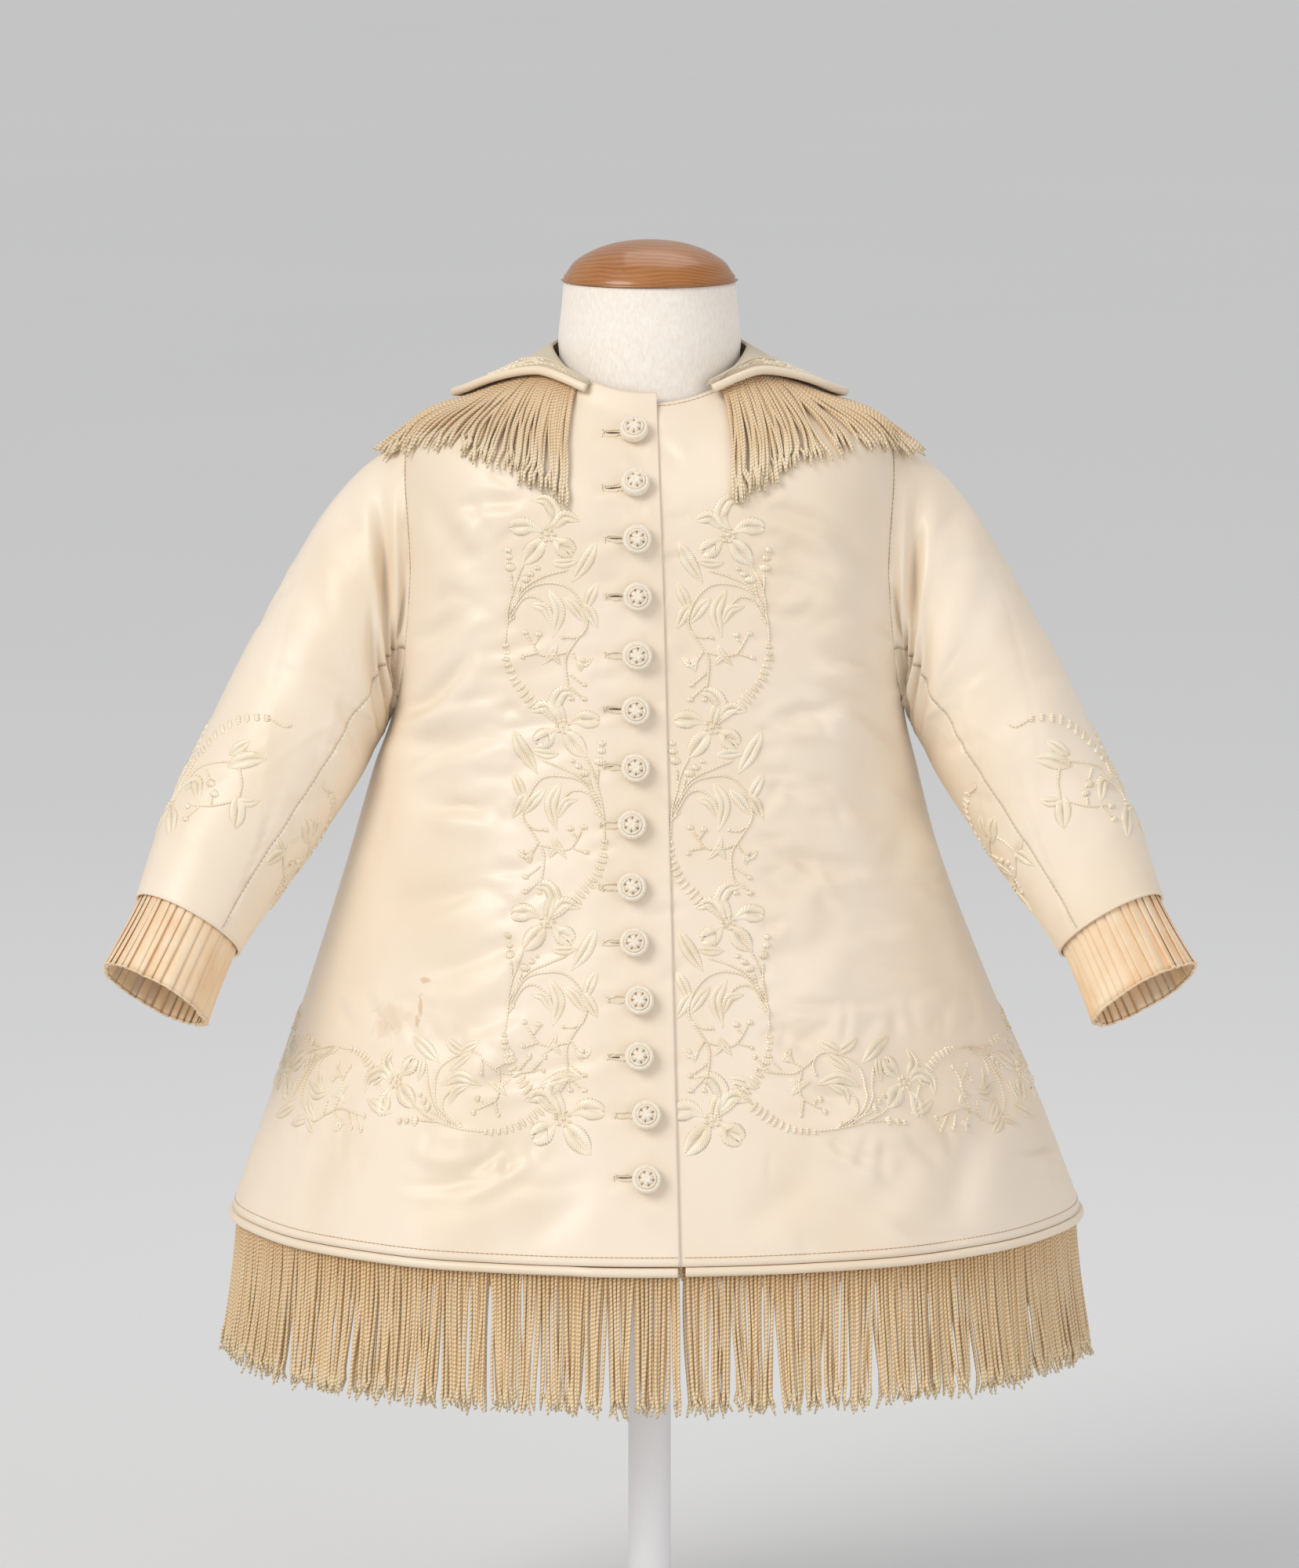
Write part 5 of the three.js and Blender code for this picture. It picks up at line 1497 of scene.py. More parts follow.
@dataclass
class CollarFringe:
    """The collar's fringe: cords that lie on the coat and run straight down its slope."""

    finishes: Finishes
    count: int = 560
    radius: float = 0.9
    front_length: float = 73.0
    shoulder_length: float = 57.0
    steps: int = 13
    substeps: int = 2
    start: float = 45.0
    pitch: float = 1.3
    # height of the lower layer over what it lies on, and of the upper layer over the lower
    rest_on_body: float = 1.7
    rest_on_sleeve: float = 3.0
    layer_gap: float = 1.35
    seed: int = 33

    @staticmethod
    def strip(angle: Array) -> tuple[Array, Array]:
        """Station of the collar's edge, and lift of the strip that the cords hang from under it."""
        edge = COLLAR.edge.at(np.abs(angle))
        return edge[:, 1], edge[:, 2] - COLLAR_PIPING_RADIUS - SEAM_GAP - STRIP_DROP

    @staticmethod
    def slide(surface: Callable[[Array, Array], Array], u: Array, v: Array,
              length: Array) -> tuple[Array, Array]:
        """Moves places down a surface's steepest slope by a length."""
        here = surface(u, v)
        du = (surface(u + STEP, v) - here) / STEP
        dv = (surface(u, v + STEP) - here) / STEP
        normal = unit(np.cross(du, dv))
        down = unit(np.array([0, 0, -1.0]) + normal * normal[..., 2:])
        a, b, c = dot(du, du)[..., 0], dot(du, dv)[..., 0], dot(dv, dv)[..., 0]
        p, q = dot(du, down)[..., 0], dot(dv, down)[..., 0]
        scale = length / (a * c - b * b)
        return u + scale * (c * p - b * q), v + scale * (a * q - b * p)

    def paths(self, angle: Array, layer: Array, uneven: Array) -> tuple[Array, Array]:
        """Lines of the cords and the normals along them.

        Args:
            angle: Each cord's angle at its root.
            layer: 0 for a cord that lies below, 1 above.
            uneven: Change of each cord's length.

        Returns:
            Points and normals, shaped (cords, points, 3).
        """
        station, strip = self.strip(angle)
        u, v = angle.copy(), np.minimum(station + 3.5, NECKLINE - 1)
        length = self.front_length + (self.shoulder_length - self.front_length) * smooth(
            50, 95, np.abs(angle)) + uneven
        on_sleeve = np.zeros(len(angle), bool)
        points, normals = [], []
        for step in range(self.steps * self.substeps + 1):
            share = step / (self.steps * self.substeps)
            if step % self.substeps == 0:
                low = np.where(on_sleeve, self.rest_on_sleeve, self.rest_on_body) + self.layer_gap * layer
                lift = strip + (low - strip) * smooth(0, 0.5, share)
                point, normal = COAT.place(u, v, lift)
                for side in Side:
                    mask = on_sleeve & (np.sign(angle) == side.value)
                    if mask.any():
                        point[mask], normal[mask] = SLEEVES[side].place(v[mask], u[mask], lift[mask])
                points.append(point)
                normals.append(normal)
            moved = length / self.steps / self.substeps
            body = ~on_sleeve
            u[body], v[body] = self.slide(COAT.point, u[body], v[body], moved[body])
            for side in Side:
                mask = on_sleeve & (np.sign(angle) == side.value)
                if mask.any():
                    u[mask], v[mask] = self.slide(SLEEVES[side].by_turn, u[mask], v[mask], moved[mask])
            half = np.where(np.abs(u) < 90, ARMHOLE_FRONT, ARMHOLE_BACK)
            inside = body & (np.abs(np.abs(u) - 90) < COAT.armhole(v, half))
            rise = np.clip((v - ARMHOLE_AT) / ARMHOLE_REACH, -1, 1)
            u = np.where(inside, np.sign(90 - np.abs(u)) * np.degrees(np.arccos(rise)), u)
            v = np.where(inside, 0.12, v)
            on_sleeve |= inside
        return np.stack(points, axis=1), np.stack(normals, axis=1)

    def build(self) -> None:
        """Makes the fringe in two layers with uneven locks."""
        rng = np.random.default_rng(self.seed)
        turn = np.linspace(self.start, 360 - self.start, self.count)
        angle = signed(turn)
        layer = (np.arange(self.count) % 2).astype(float)
        points, normals = self.paths(angle, layer, rng.normal(0, 2.0, self.count))
        for _ in range(2):
            points[:, 1:-1] = (points[:, :-2] + 2 * points[:, 1:-1] + points[:, 2:]) / 4
        normals = unit(normals)
        across = unit(np.cross(np.gradient(points, axis=1), normals))
        share = np.linspace(0, 1, points.shape[1])[None, :, None]
        lock = HemTrim.locks(np.arange(self.count) * self.pitch, rng)[:, None, None]
        bend = rng.normal(0, 1.0, (self.count, 1, 1)) * np.sin(share * math.pi * 1.5 * (
            0.6 + rng.random((self.count, 1, 1))))
        sway = -0.8 * lock * share ** 1.4 + rng.normal(0, 0.9, (self.count, 1, 1)) * share + bend
        stray = np.abs(rng.normal(0, 0.7, (self.count, 1, 1))) * share ** 2
        curl = rng.normal(0, 1.5, (self.count, 1, 1)) * (share > 0.9)
        path = points + across * (sway + curl) + normals * stray
        radius = self.radius * (1 + rng.normal(0, 0.08, (self.count, 1)))
        size = cord_sizes(radius, share[..., 0], (0.88, 1.15), 0.5)
        parts = MeshParts()
        add_tubes(parts, path, normals, size, CORD_SIDES, rng.random(self.count))
        angle = signed(np.linspace(self.start - 1, 361 - self.start, 241))
        station, lift = self.strip(angle)
        rows = [COAT.place(angle, np.minimum(station + up, NECKLINE - 0.5), lift) for up in (1.0, 3.0, 5.0)]
        add_heading(parts, np.stack([r[0] for r in rows]), np.stack([r[1] for r in rows]))
        piece = parts.build("fringe_cords_collar", self.finishes.collar_cord)
        keep(piece, "silk_fringe", "fringe_collar")


# ---------------------------------------------------------------- buttons


@dataclass
class Buttons:
    """Fourteen crocheted buttons down the front: a roped rim, an inner ring and a knob of six petals."""

    finishes: Finishes
    rings: int = 26
    sides: int = 72
    seed: int = 3
    # radius and height of the profile, from the base up, over the button's radius
    profile: tuple[tuple[float, float], ...] = (
        (0.45, -0.17), (0.52, -0.02), (0.88, 0.02), (0.98, 0.16), (1.0, 0.34), (0.97, 0.54), (0.89, 0.68),
        (0.79, 0.7), (0.73, 0.63), (0.7, 0.65), (0.65, 0.78), (0.58, 0.8), (0.53, 0.7), (0.49, 0.66),
        (0.43, 0.78), (0.3, 0.9), (0.15, 0.9), (0.0, 0.88),
    )

    def shape(self) -> tuple[Array, Array, list[Array]]:
        """One button's points round the origin, its painted shade values and its faces."""
        line = curve_points(self.profile, self.rings)
        radius, height = line[:-1, :1], line[:-1, 1:]
        turn = 2 * math.pi * np.arange(self.sides) / self.sides
        outer = np.exp(-(((radius - 0.84) / 0.12) ** 2)) * (height > 0.5)
        inner = np.exp(-(((radius - 0.61) / 0.06) ** 2))
        knob = np.exp(-(((radius - 0.42) / 0.12) ** 2))
        petals = np.abs(np.cos(3 * turn)) ** 0.5 - 0.88
        rim = np.exp(-(((height - 0.3) / 0.25) ** 2)) * (radius > 0.8)
        wave = (0.022 * outer * np.cos(24 * turn + 9 * radius)
                + 0.014 * inner * np.cos(18 * turn - 10 * radius)
                + 0.17 * knob * petals + 0.022 * rim * np.cos(24 * turn + 5 * height))
        reach = radius + wave * (rim > 0.3) * 0.8
        up = height + wave
        points = xyz(reach * np.cos(turn), reach * np.sin(turn), up) * BUTTON_RADIUS
        top = np.array([[0, 0, line[-1, 1] * BUTTON_RADIUS]])
        fan = (self.rings - 2) * self.sides
        around = np.arange(self.sides)
        tip = np.stack([around + fan, (around + 1) % self.sides + fan, 0 * around + fan + self.sides], 1)
        # Painted shade, from 0 to 1: lower in the grooves and between the petals; the crochet finish darkens
        # by it.
        groove = np.exp(-(((radius - 0.715) / 0.03) ** 2)) + 0.5 * np.exp(-(((radius - 0.505) / 0.03) ** 2))
        shade = np.clip(0.9 + wave / 0.12 - 0.7 * groove * (height > 0.4), 0, 1)
        values = xyz(0 * shade, shade, 0 * shade).reshape(-1, 3)
        faces = [grid_quads(self.rings - 1, self.sides, wrap=True), tip, around[None, ::-1]]
        return np.concatenate([points.reshape(-1, 3), top]), np.concatenate([values, [[0, 1, 0]]]), faces

    def build(self) -> None:
        """Makes the buttons, each turned a little differently."""
        rng = np.random.default_rng(self.seed)
        local, values, faces = self.shape()
        for index, (x, z) in enumerate(BUTTONS, start=1):
            angle, at = COAT.from_front(np.array(x), np.array(z))
            point, normal = COAT.place(angle, at, OVERLAP_LIFT + FACE + 0.4)
            across = unit(np.cross([1.0, 0, 0], normal))
            up = np.cross(normal, across)
            twist, squash = rng.uniform(0, 2 * math.pi), 1 + rng.normal(0, 0.015)
            a = math.cos(twist) * local[:, :1] * squash - math.sin(twist) * local[:, 1:2]
            b = math.sin(twist) * local[:, :1] * squash + math.cos(twist) * local[:, 1:2]
            parts = MeshParts()
            parts.add(point + across * a + up * b + normal * local[:, 2:], faces, stitch=values)
            keep(parts.build(f"crocheted_button_{index:02d}", self.finishes.crochet), "crocheted_silk",
                 f"button_{index:02d}")


# ---------------------------------------------------------------- needlework


class Stitch(Enum):
    """How a stitched shape narrows along its line: round cord, pointed leaf, petal, round berry or bar."""

    STEM = "stem"
    LEAF = "leaf"
    PETAL = "petal"
    BERRY = "berry"
    BAR = "bar"

    @property
    def height(self) -> float:
        """Height of its padding over the cloth, in millimetres."""
        return {Stitch.STEM: 1.05, Stitch.BERRY: 1.4}.get(self, 1.1)

    def profile(self, share: Array) -> Array:
        """Half width along the shape, over its greatest."""
        if self is Stitch.STEM:
            return 0.35 + 0.65 * smooth(0, 0.06, share) * smooth(0, 0.06, 1 - share)
        if self is Stitch.LEAF:
            return np.sin(math.pi * share ** 0.85) ** 0.8
        if self is Stitch.PETAL:
            return (0.14 + 0.86 * smooth(0, 0.62, share)) * np.sqrt(np.maximum(0, 1 - share ** 5)) + 0.02
        if self is Stitch.BERRY:
            return np.sqrt(np.maximum(0.02, 1 - (2 * share - 1) ** 2))
        return np.clip(6 * share, 0.3, 1) * np.clip(6 * (1 - share), 0.3, 1)


@dataclass(frozen=True)
class Stitched:
    """One shape of the embroidery, drawn flat: its kind, greatest half width and line, in millimetres."""

    kind: Stitch
    half: float
    line: tuple[tuple[float, float], ...]


def leaf(half: float, *line: tuple[float, float]) -> Stitched:
    """A pointed lobe."""
    return Stitched(Stitch.LEAF, half, line)


def stem(*line: tuple[float, float]) -> Stitched:
    """A roped stem."""
    return Stitched(Stitch.STEM, 0.7, line)


def berry(x: float, y: float, radius: float) -> Stitched:
    """A padded berry."""
    return Stitched(Stitch.BERRY, radius, ((x - radius, y), (x, y), (x + radius, y)))


def ladder(knots: Sequence[tuple[float, float]], count: int, half: float, reach: float,
           growth: float) -> list[Stitched]:
    """Bars laid across a curve.

    Args:
        knots: The curve's points.
        count: How many bars.
        half: Half of a bar's width.
        reach: Half of the first bar's length.
        growth: How much each next bar's half length grows.

    Returns:
        The bars.
    """
    line = curve_points(knots, count)
    bars = []
    for k, ((x, y), (dx, dy)) in enumerate(zip(line, unit(np.gradient(line, axis=0)))):
        out = reach + growth * k
        ends = (x - dy * out, y + dx * out), (x + dy * out, y - dx * out)
        bars.append(Stitched(Stitch.BAR, half, (ends[0], (x, y), ends[1])))
    return bars


@dataclass(frozen=True)
class Vine:
    """One repeat of a scrolling vine: a flower at the origin, and its stem down to the next flower."""

    pitch: float = 97.0
    shift: float = 8.0

    @staticmethod
    def flower() -> list[Stitched]:
        """Five uneven petals, three of them pointed, round a knotted centre."""
        petals = ((5.2, (-2, 1), (-9, 4), (-18, 3)), (5.4, (-1, -2), (-6, -8), (-12, -15)),
                  (5.8, (2, -1), (7, -5), (13, -9)), (4.2, (0, 3), (4, 10), (0, 17), (-8, 17)),
                  (3.8, (3, 3), (9, 9), (17, 7)))
        shapes = [Stitched(Stitch.PETAL if k in (0, 2) else Stitch.LEAF, half, tuple(line))
                  for k, (half, *line) in enumerate(petals)]
        for k in range(7):
            angle = 2 * math.pi * k / 7
            shapes.append(berry(3.1 * math.cos(angle), 3.1 * math.sin(angle), 1.05))
        shapes.append(berry(0, 0, 1.3))
        return shapes

    def spray(self) -> list[Stitched]:
        """The stems, leaves, berries and the ladder of bars between two flowers."""
        shapes = [
            stem((-11, -14), (-15, -22), (-18, -32), (-20, -42), (-21, -56)),
            stem((-18, -20), (-17.5, -32)), stem((-16, -36), (-13, -25)),
            stem((-19.5, -40), (-11, -27), (0, -21), (11, -17)),
            stem((-20, -43), (-11, -29), (0, -25), (10, -26), (17, -34), (20, -45), (14, -55), (10, -62),
                 (10, -71), (12, -82)),
            stem((-20, -46), (-13, -34), (-6, -32), (0, -36)), stem((-21, -46), (-16, -42)),
            stem((19, -49), (14, -52), (9, -52)), stem((12, -58), (16, -64)), stem((11, -70), (18, -75)),
            stem((11, -76), (18, -82)), stem((12, -59), (3, -61), (-4, -60), (-10, -51)),
            stem((-4, -60), (-11, -62)), stem((-7, -56), (-4, -52)), stem((-6, -87), (0, -92), (6, -96)),
            leaf(4.1, (25, -3), (20, -13), (13, -24)), leaf(2.9, (2, -14), (9, -14), (16, -13)),
            leaf(3.3, (9, -32), (14, -37), (20, -45)), leaf(3.2, (26, -24), (22, -31), (19, -39)),
            leaf(3.4, (18, -34), (22, -40), (26, -47)), leaf(3.8, (1, -28), (6, -39), (3, -52)),
            leaf(2.9, (-8, -36), (-1, -38), (3, -46)), leaf(2.4, (15, -62), (19, -65), (23, -62)),
            leaf(1.9, (16, -63), (17, -66), (17, -69)), leaf(2.2, (5, -55), (3, -60), (-2, -66)),
            leaf(1.8, (1, -60), (4, -62), (7, -66)), leaf(3.4, (3, -82), (7, -92), (8, -99)),
        ]
        berries = (
            (-20, -8, 1.8), (-19.5, -12, 2.1), (-18.5, -17, 2.7), (-11, -23, 2.5), (-8, -20, 1.9),
            (-5, -17, 1.4), (8.5, -52, 1.2), (12, -83, 1.5), (19, -75.5, 1.5), (19, -83, 1.6),
            (-11, -50, 1.7), (-4, -51, 1.8), (-12, -62.5, 1.4),
        )
        shapes += [berry(x, y, radius) for x, y, radius in berries]
        return shapes + ladder(((-21, -57), (-20, -66), (-16, -75), (-7, -86)), 11, 1.3, 1.7, 0.16)


@dataclass
class FlatWork:
    """Embroidery drawn flat and then laid on a surface."""

    # Satin stitches are 0.5 mm wide in the real work; drawn at 1.2 mm so that they show.
    stitch_mm: float = 1.2
    rope_mm: float = 1.7
    # Leaves and petals wider than this half width are worked in two halves, a little lower.
    halved_from: float = 1.6
    halved_height: float = 0.95
    # how far the edges are sunk in the cloth, and where the crest starts over the half width
    sink: float = 0.3
    crest: float = 0.42
    seed: int = 7
    places: list[Array] = field(default_factory=list)
    lifts: list[Array] = field(default_factory=list)
    values: list[Array] = field(default_factory=list)
    faces: list[Array] = field(default_factory=list)
    count: int = 0

    def __post_init__(self) -> None:
        """Starts the randomness."""
        self.rng = np.random.default_rng(self.seed)

    def ribbon(self, middle: Array, half: Array, height: float, lean: float, rib: int = 0) -> None:
        """Adds one padded strip whose rows are stitches.

        Args:
            middle: Its centre line.
            half: Half width at each point.
            height: Its height over the cloth.
            lean: How far a stitch's end lies ahead of its start, over the half width.
            rib: Side, -1 or 1, that leans on a leaf's midrib and stays high, or 0.
        """
        along = unit(np.gradient(middle, axis=0))
        across = np.stack([-along[:, 1], along[:, 0]], axis=1)
        place = np.array([-1.0, -0.9 if rib < 0 else -self.crest, 0.9 if rib > 0 else self.crest, 1.0])
        inner = place * rib > 0.5
        crest = (np.arange(len(middle)) % 2).astype(float)
        wide = half * (0.88 + 0.17 * crest) * (1 + self.rng.normal(0, 0.025, len(middle)))
        spread = np.where(inner, half[:, None] + 0.2, wide[:, None]) * place
        grid = (middle[:, None] + across[:, None] * spread[..., None]
                + along[:, None] * (half[:, None] * place * lean)[..., None])
        fill = np.clip(half / max(half.max(), 1e-6), 0.35, 1)
        top = height * fill * (0.62 + 0.38 * crest)
        rise = np.where(inner, 0.88, 1.0) * [0, 1, 1, 0]
        lift = SATIN_WALL / 2 - self.sink + rise * (top + self.sink)[:, None]
        edge = np.where(inner, 0.3, np.abs(place)) + 0 * lift
        # The crest value darkens the rows between crests in the floss's finish: painted shade.
        self.values.append(xyz(edge, crest[:, None] + 0 * lift, 0 * lift).reshape(-1, 3))
        self.places.append(grid.reshape(-1, 2))
        self.lifts.append(lift.ravel())
        rows = len(middle)
        self.faces.append(grid_quads(rows, 4, wrap=True) + self.count)
        self.faces.append(np.stack([np.arange(4)[::-1], np.arange(4) + (rows - 1) * 4]) + self.count)
        self.count += rows * 4

    def draw(self, shapes: Sequence[Stitched], origin: tuple[float, float], mirror: bool = False,
             turn: float = 0.0, scale: float = 1.0) -> None:
        """Draws shapes at a place.

        Args:
            shapes: The shapes.
            origin: Where their origin lies.
            mirror: Whether they are mirrored left to right.
            turn: Turn in degrees.
            scale: Their size.
        """
        sine, cosine = math.sin(math.radians(turn)), math.cos(math.radians(turn))
        for shape in shapes:
            line = np.array(shape.line) * [-1 if mirror else 1, 1] * scale
            line = line @ np.array([[cosine, sine], [-sine, cosine]]) + origin
            line = line + self.rng.normal(0, 0.22, line.shape)
            half = shape.half * (scale if shape.kind is not Stitch.STEM else 1)
            pitch = self.rope_mm if shape.kind is Stitch.STEM else self.stitch_mm
            rows = max(5, 2 * int(path_length(line) / pitch) + 1)
            middle = curve_points(line, rows)
            share = np.linspace(0, 1, rows)
            width = half * shape.kind.profile(share)
            if shape.kind in (Stitch.LEAF, Stitch.PETAL) and half > self.halved_from:
                along = unit(np.gradient(middle, axis=0))
                across = np.stack([-along[:, 1], along[:, 0]], axis=1)
                for sign in (-1, 1):
                    lobe = middle + across * (sign * width / 2)[:, None]
                    self.ribbon(lobe, width / 2 + 0.02, self.halved_height, sign * 0.8, -sign)
            else:
                self.ribbon(middle, width, shape.kind.height, float(shape.kind is Stitch.STEM))

    def lay(self, name: str, material: Material, place: Place, slot: str) -> None:
        """Lays the drawing on a surface as one piece.

        Args:
            name: The piece's name.
            material: Its material.
            place: Gives the points for places across, places up and lifts.
            slot: The record's slot.
        """
        flat = np.concatenate(self.places)
        points = place(flat[:, 0], flat[:, 1], np.concatenate(self.lifts))
        parts = MeshParts()
        parts.add(points, self.faces, stitch=np.concatenate(self.values))
        keep(parts.build(name, material), slot)


@dataclass
class Needlework:
    """The embroidery: a band down each front and round the hem, sprays on the sleeves, the collar's ropes."""

    finishes: Finishes
    vine: Vine = field(default_factory=Vine)
    heights: tuple[float, ...] = (609.0, 514.0, 418.0)
    corner_height: float = 323.0
    hem_station: float = 331.0
    hem_corner: float = 41.0
    hem_units: int = 5

    def build(self) -> None:
        """Embroiders both fronts, the hem and both sleeves."""
        for side, middle in ((Side.RIGHT, -47.0), (Side.LEFT, 35.0)):
            work = FlatWork(seed=40 + side.value)
            self.front(work, side, middle)
            self.lay(work, f"front_{side.label}", self.front_place(side))
            work = FlatWork(seed=50 + side.value)
            self.hem(work, side)
            self.lay(work, f"hem_{side.label}", self.hem_place(side))
            work = FlatWork(seed=60 + side.value)
            for turn, rise, scale in SPRAYS:
                self.sleeve(work, turn, rise, scale)
            self.lay(work, f"sleeve_{side.label}", self.sleeve_place(side))
        work = FlatWork(seed=70, rope_mm=2.2)
        self.collar(work)
        self.lay(work, "collar", self.collar_place)

    def lay(self, work: FlatWork, name: str, place: Place) -> None:
        """Lays a drawing on the coat in floss."""
        work.lay(f"embroidery_{name}", self.finishes.floss, place, "crocheted_silk")

    @staticmethod
    def half_spray() -> list[Stitched]:
        """Half of a sleeve's spray, which opens up the arm."""
        shapes = [
            stem((0, 0), (3, 10), (8, 17), (17, 22), (24, 24)), stem((24, 22), (27, 17), (28, 11)),
            stem((27, 10), (20, 4), (12, 1)), stem((20, 4), (19, 8)), stem((16, 2), (13, -4)),
            stem((11, 18), (15, 14)), stem((25, 44), (31, 44), (33, 47)), stem((3, 12), (2, 20)),
            leaf(3.6, (19, 21), (25, 26), (31, 29)), leaf(2.6, (18, 25), (21, 30), (24, 33)),
            leaf(3.4, (27, 13), (29, 7), (31, 0)), leaf(2.0, (27, 11), (31, 12), (35, 15)),
            leaf(3.2, (2, 6), (9, 11), (15, 4)), leaf(3.8, (1, -1), (5, -6), (9, -13)),
            berry(11, 0.5, 1.6), berry(19, 9.5, 1.9), berry(12.5, -5, 1.5), berry(16, 12.5, 2.0),
        ]
        return shapes + ladder(((2, 21), (8, 31), (16, 39), (25, 44)), 10, 1.25, 2.9, -0.15)

    def sleeve(self, work: FlatWork, turn: float, rise: float, scale: float) -> None:
        """Draws a sleeve's spray, by arc from a turn and height over the sleeve's end."""
        origin = (turn * SLEEVE_ARC, rise)
        for mirror in (False, True):
            work.draw(self.half_spray(), origin, mirror, scale=scale)
        middle = [leaf(3.0, (0, 3), (-1.5, 12), (0, 21)), berry(0, 0, 1.6)]
        middle += [berry(3 * math.cos(k), 3 * math.sin(k), 1.1) for k in range(6)]
        work.draw(middle, origin)

    @staticmethod
    def sleeve_place(side: Side) -> Place:
        """Lays places given by arc and height on a sleeve, each spray round its own middle."""
        front, back = (turn for turn, _, _ in SPRAYS)
        halfway = 65

        def place(arc: Array, rise: Array, lift: Array) -> Array:
            station = SLEEVE_END - rise / STATION_LENGTH
            middle = np.where(arc > halfway, back, front)
            round_mm = np.interp(station, (6, SLEEVE_END), (0.66, 0.53))
            return SLEEVES[side].place(station, middle + (arc - middle * SLEEVE_ARC) / round_mm, lift)[0]
        return place

    @staticmethod
    def collar(work: FlatWork) -> None:
        """Draws the collar's couched ropes, leaves and berries, by arc and reach in millimetres."""
        for reach, wave in ((31.0, 1.6), (11.0, 1.2)):
            turn = np.linspace(42, 318, 70) * COLLAR_ARC
            line = tuple(zip(turn, reach + wave * np.sin(turn / 5.5)))
            work.draw([Stitched(Stitch.STEM, 0.75, line)], (0, 0))
        for k, turn in enumerate(np.arange(46, 316, 9.0)):
            up = 1 if k % 2 else -1
            x, y = turn * COLLAR_ARC, COLLAR_MIDDLE
            work.draw([stem((x - 4, y - up * 6), (x, y), (x + 4, y + up * 6)),
                       leaf(2.6, (x, y), (x + 2.5, y + up * 4), (x + 7, y + up * 5)),
                       leaf(2.0, (x - 1, y), (x - 3, y - up * 3), (x - 2, y - up * 8)),
                       berry(x + 1.5, y - up * 5, 1.5)], (0, 0))

    @staticmethod
    def collar_place(across: Array, down: Array, lift: Array) -> Array:
        """Lays places given by turn and reach on the collar."""
        turn = np.clip(across / COLLAR_ARC, COLLAR.front + 0.5, 359.5 - COLLAR.front)
        return COLLAR.place(turn, np.clip(0.1 + down / 46, 0.05, 0.98), lift + 0.05)[0]

    def front(self, work: FlatWork, side: Side, middle: float) -> None:
        """Draws a front's band: a repeat at each flower, mirrored in turn, down to the corner's flower."""
        flowers = [*self.heights, self.corner_height]
        for k, (top, bottom) in enumerate(zip(flowers, flowers[1:])):
            mirror = (k % 2 == 1) != (side is Side.LEFT)
            sway = self.vine.shift / 2 * (1 if mirror else -1)
            origin = (middle + sway, top)
            work.draw(self.vine.flower(), origin, mirror)
            work.draw(self.vine.spray(), origin, mirror, scale=(top - bottom) / self.vine.pitch)
        mirror = side is Side.RIGHT
        corner = (middle + self.vine.shift / 2 * (1 if mirror else -1), self.corner_height)
        work.draw(self.vine.flower(), corner, mirror, scale=1.15)

    @staticmethod
    def front_place(side: Side) -> Place:
        """Lays places given by x and height on a front."""
        def place(x: Array, z: Array, lift: Array) -> Array:
            angle, at = COAT.from_front(x, z)
            return COAT.dressed(angle, at, lift, lapped=side is Side.RIGHT)[0]
        return place

    def half_round(self) -> tuple[Array, Array]:
        """Angles from the centre front to the centre back, and the arc length to each at the hem band."""
        angle = np.linspace(0, 180, 721)
        line = COAT.point(angle, self.hem_station)
        return angle, run_along(line)

    def hem(self, work: FlatWork, side: Side) -> None:
        """Draws half of the hem's band, by arc length from the centre front and height over its middle."""
        total = self.half_round()[1][-1]
        spacing = (total - self.hem_corner) / self.hem_units
        for k in range(self.hem_units):
            far = self.hem_corner + spacing * (k + 1)
            mirror = k % 2 == 0
            turn = -90.0
            origin = (far, 4.0 if mirror else -4.0)
            if k < self.hem_units - 1 or side is Side.RIGHT:
                work.draw(self.vine.flower(), origin, mirror, turn)
            work.draw(self.vine.spray(), origin, mirror, turn, spacing / self.vine.pitch)

    def hem_place(self, side: Side) -> Place:
        """Lays places given by arc length and height on half of the hem."""
        angles, run = self.half_round()

        def place(far: Array, up: Array, lift: Array) -> Array:
            angle = np.interp(far, run, angles) * side.value
            angle = angle + (far > run[-1]) * (far - run[-1]) / 2.4 * side.value
            at = self.hem_station + up * 0.95
            return COAT.dressed(angle, at, lift, lapped=side is Side.RIGHT)[0]
        return place


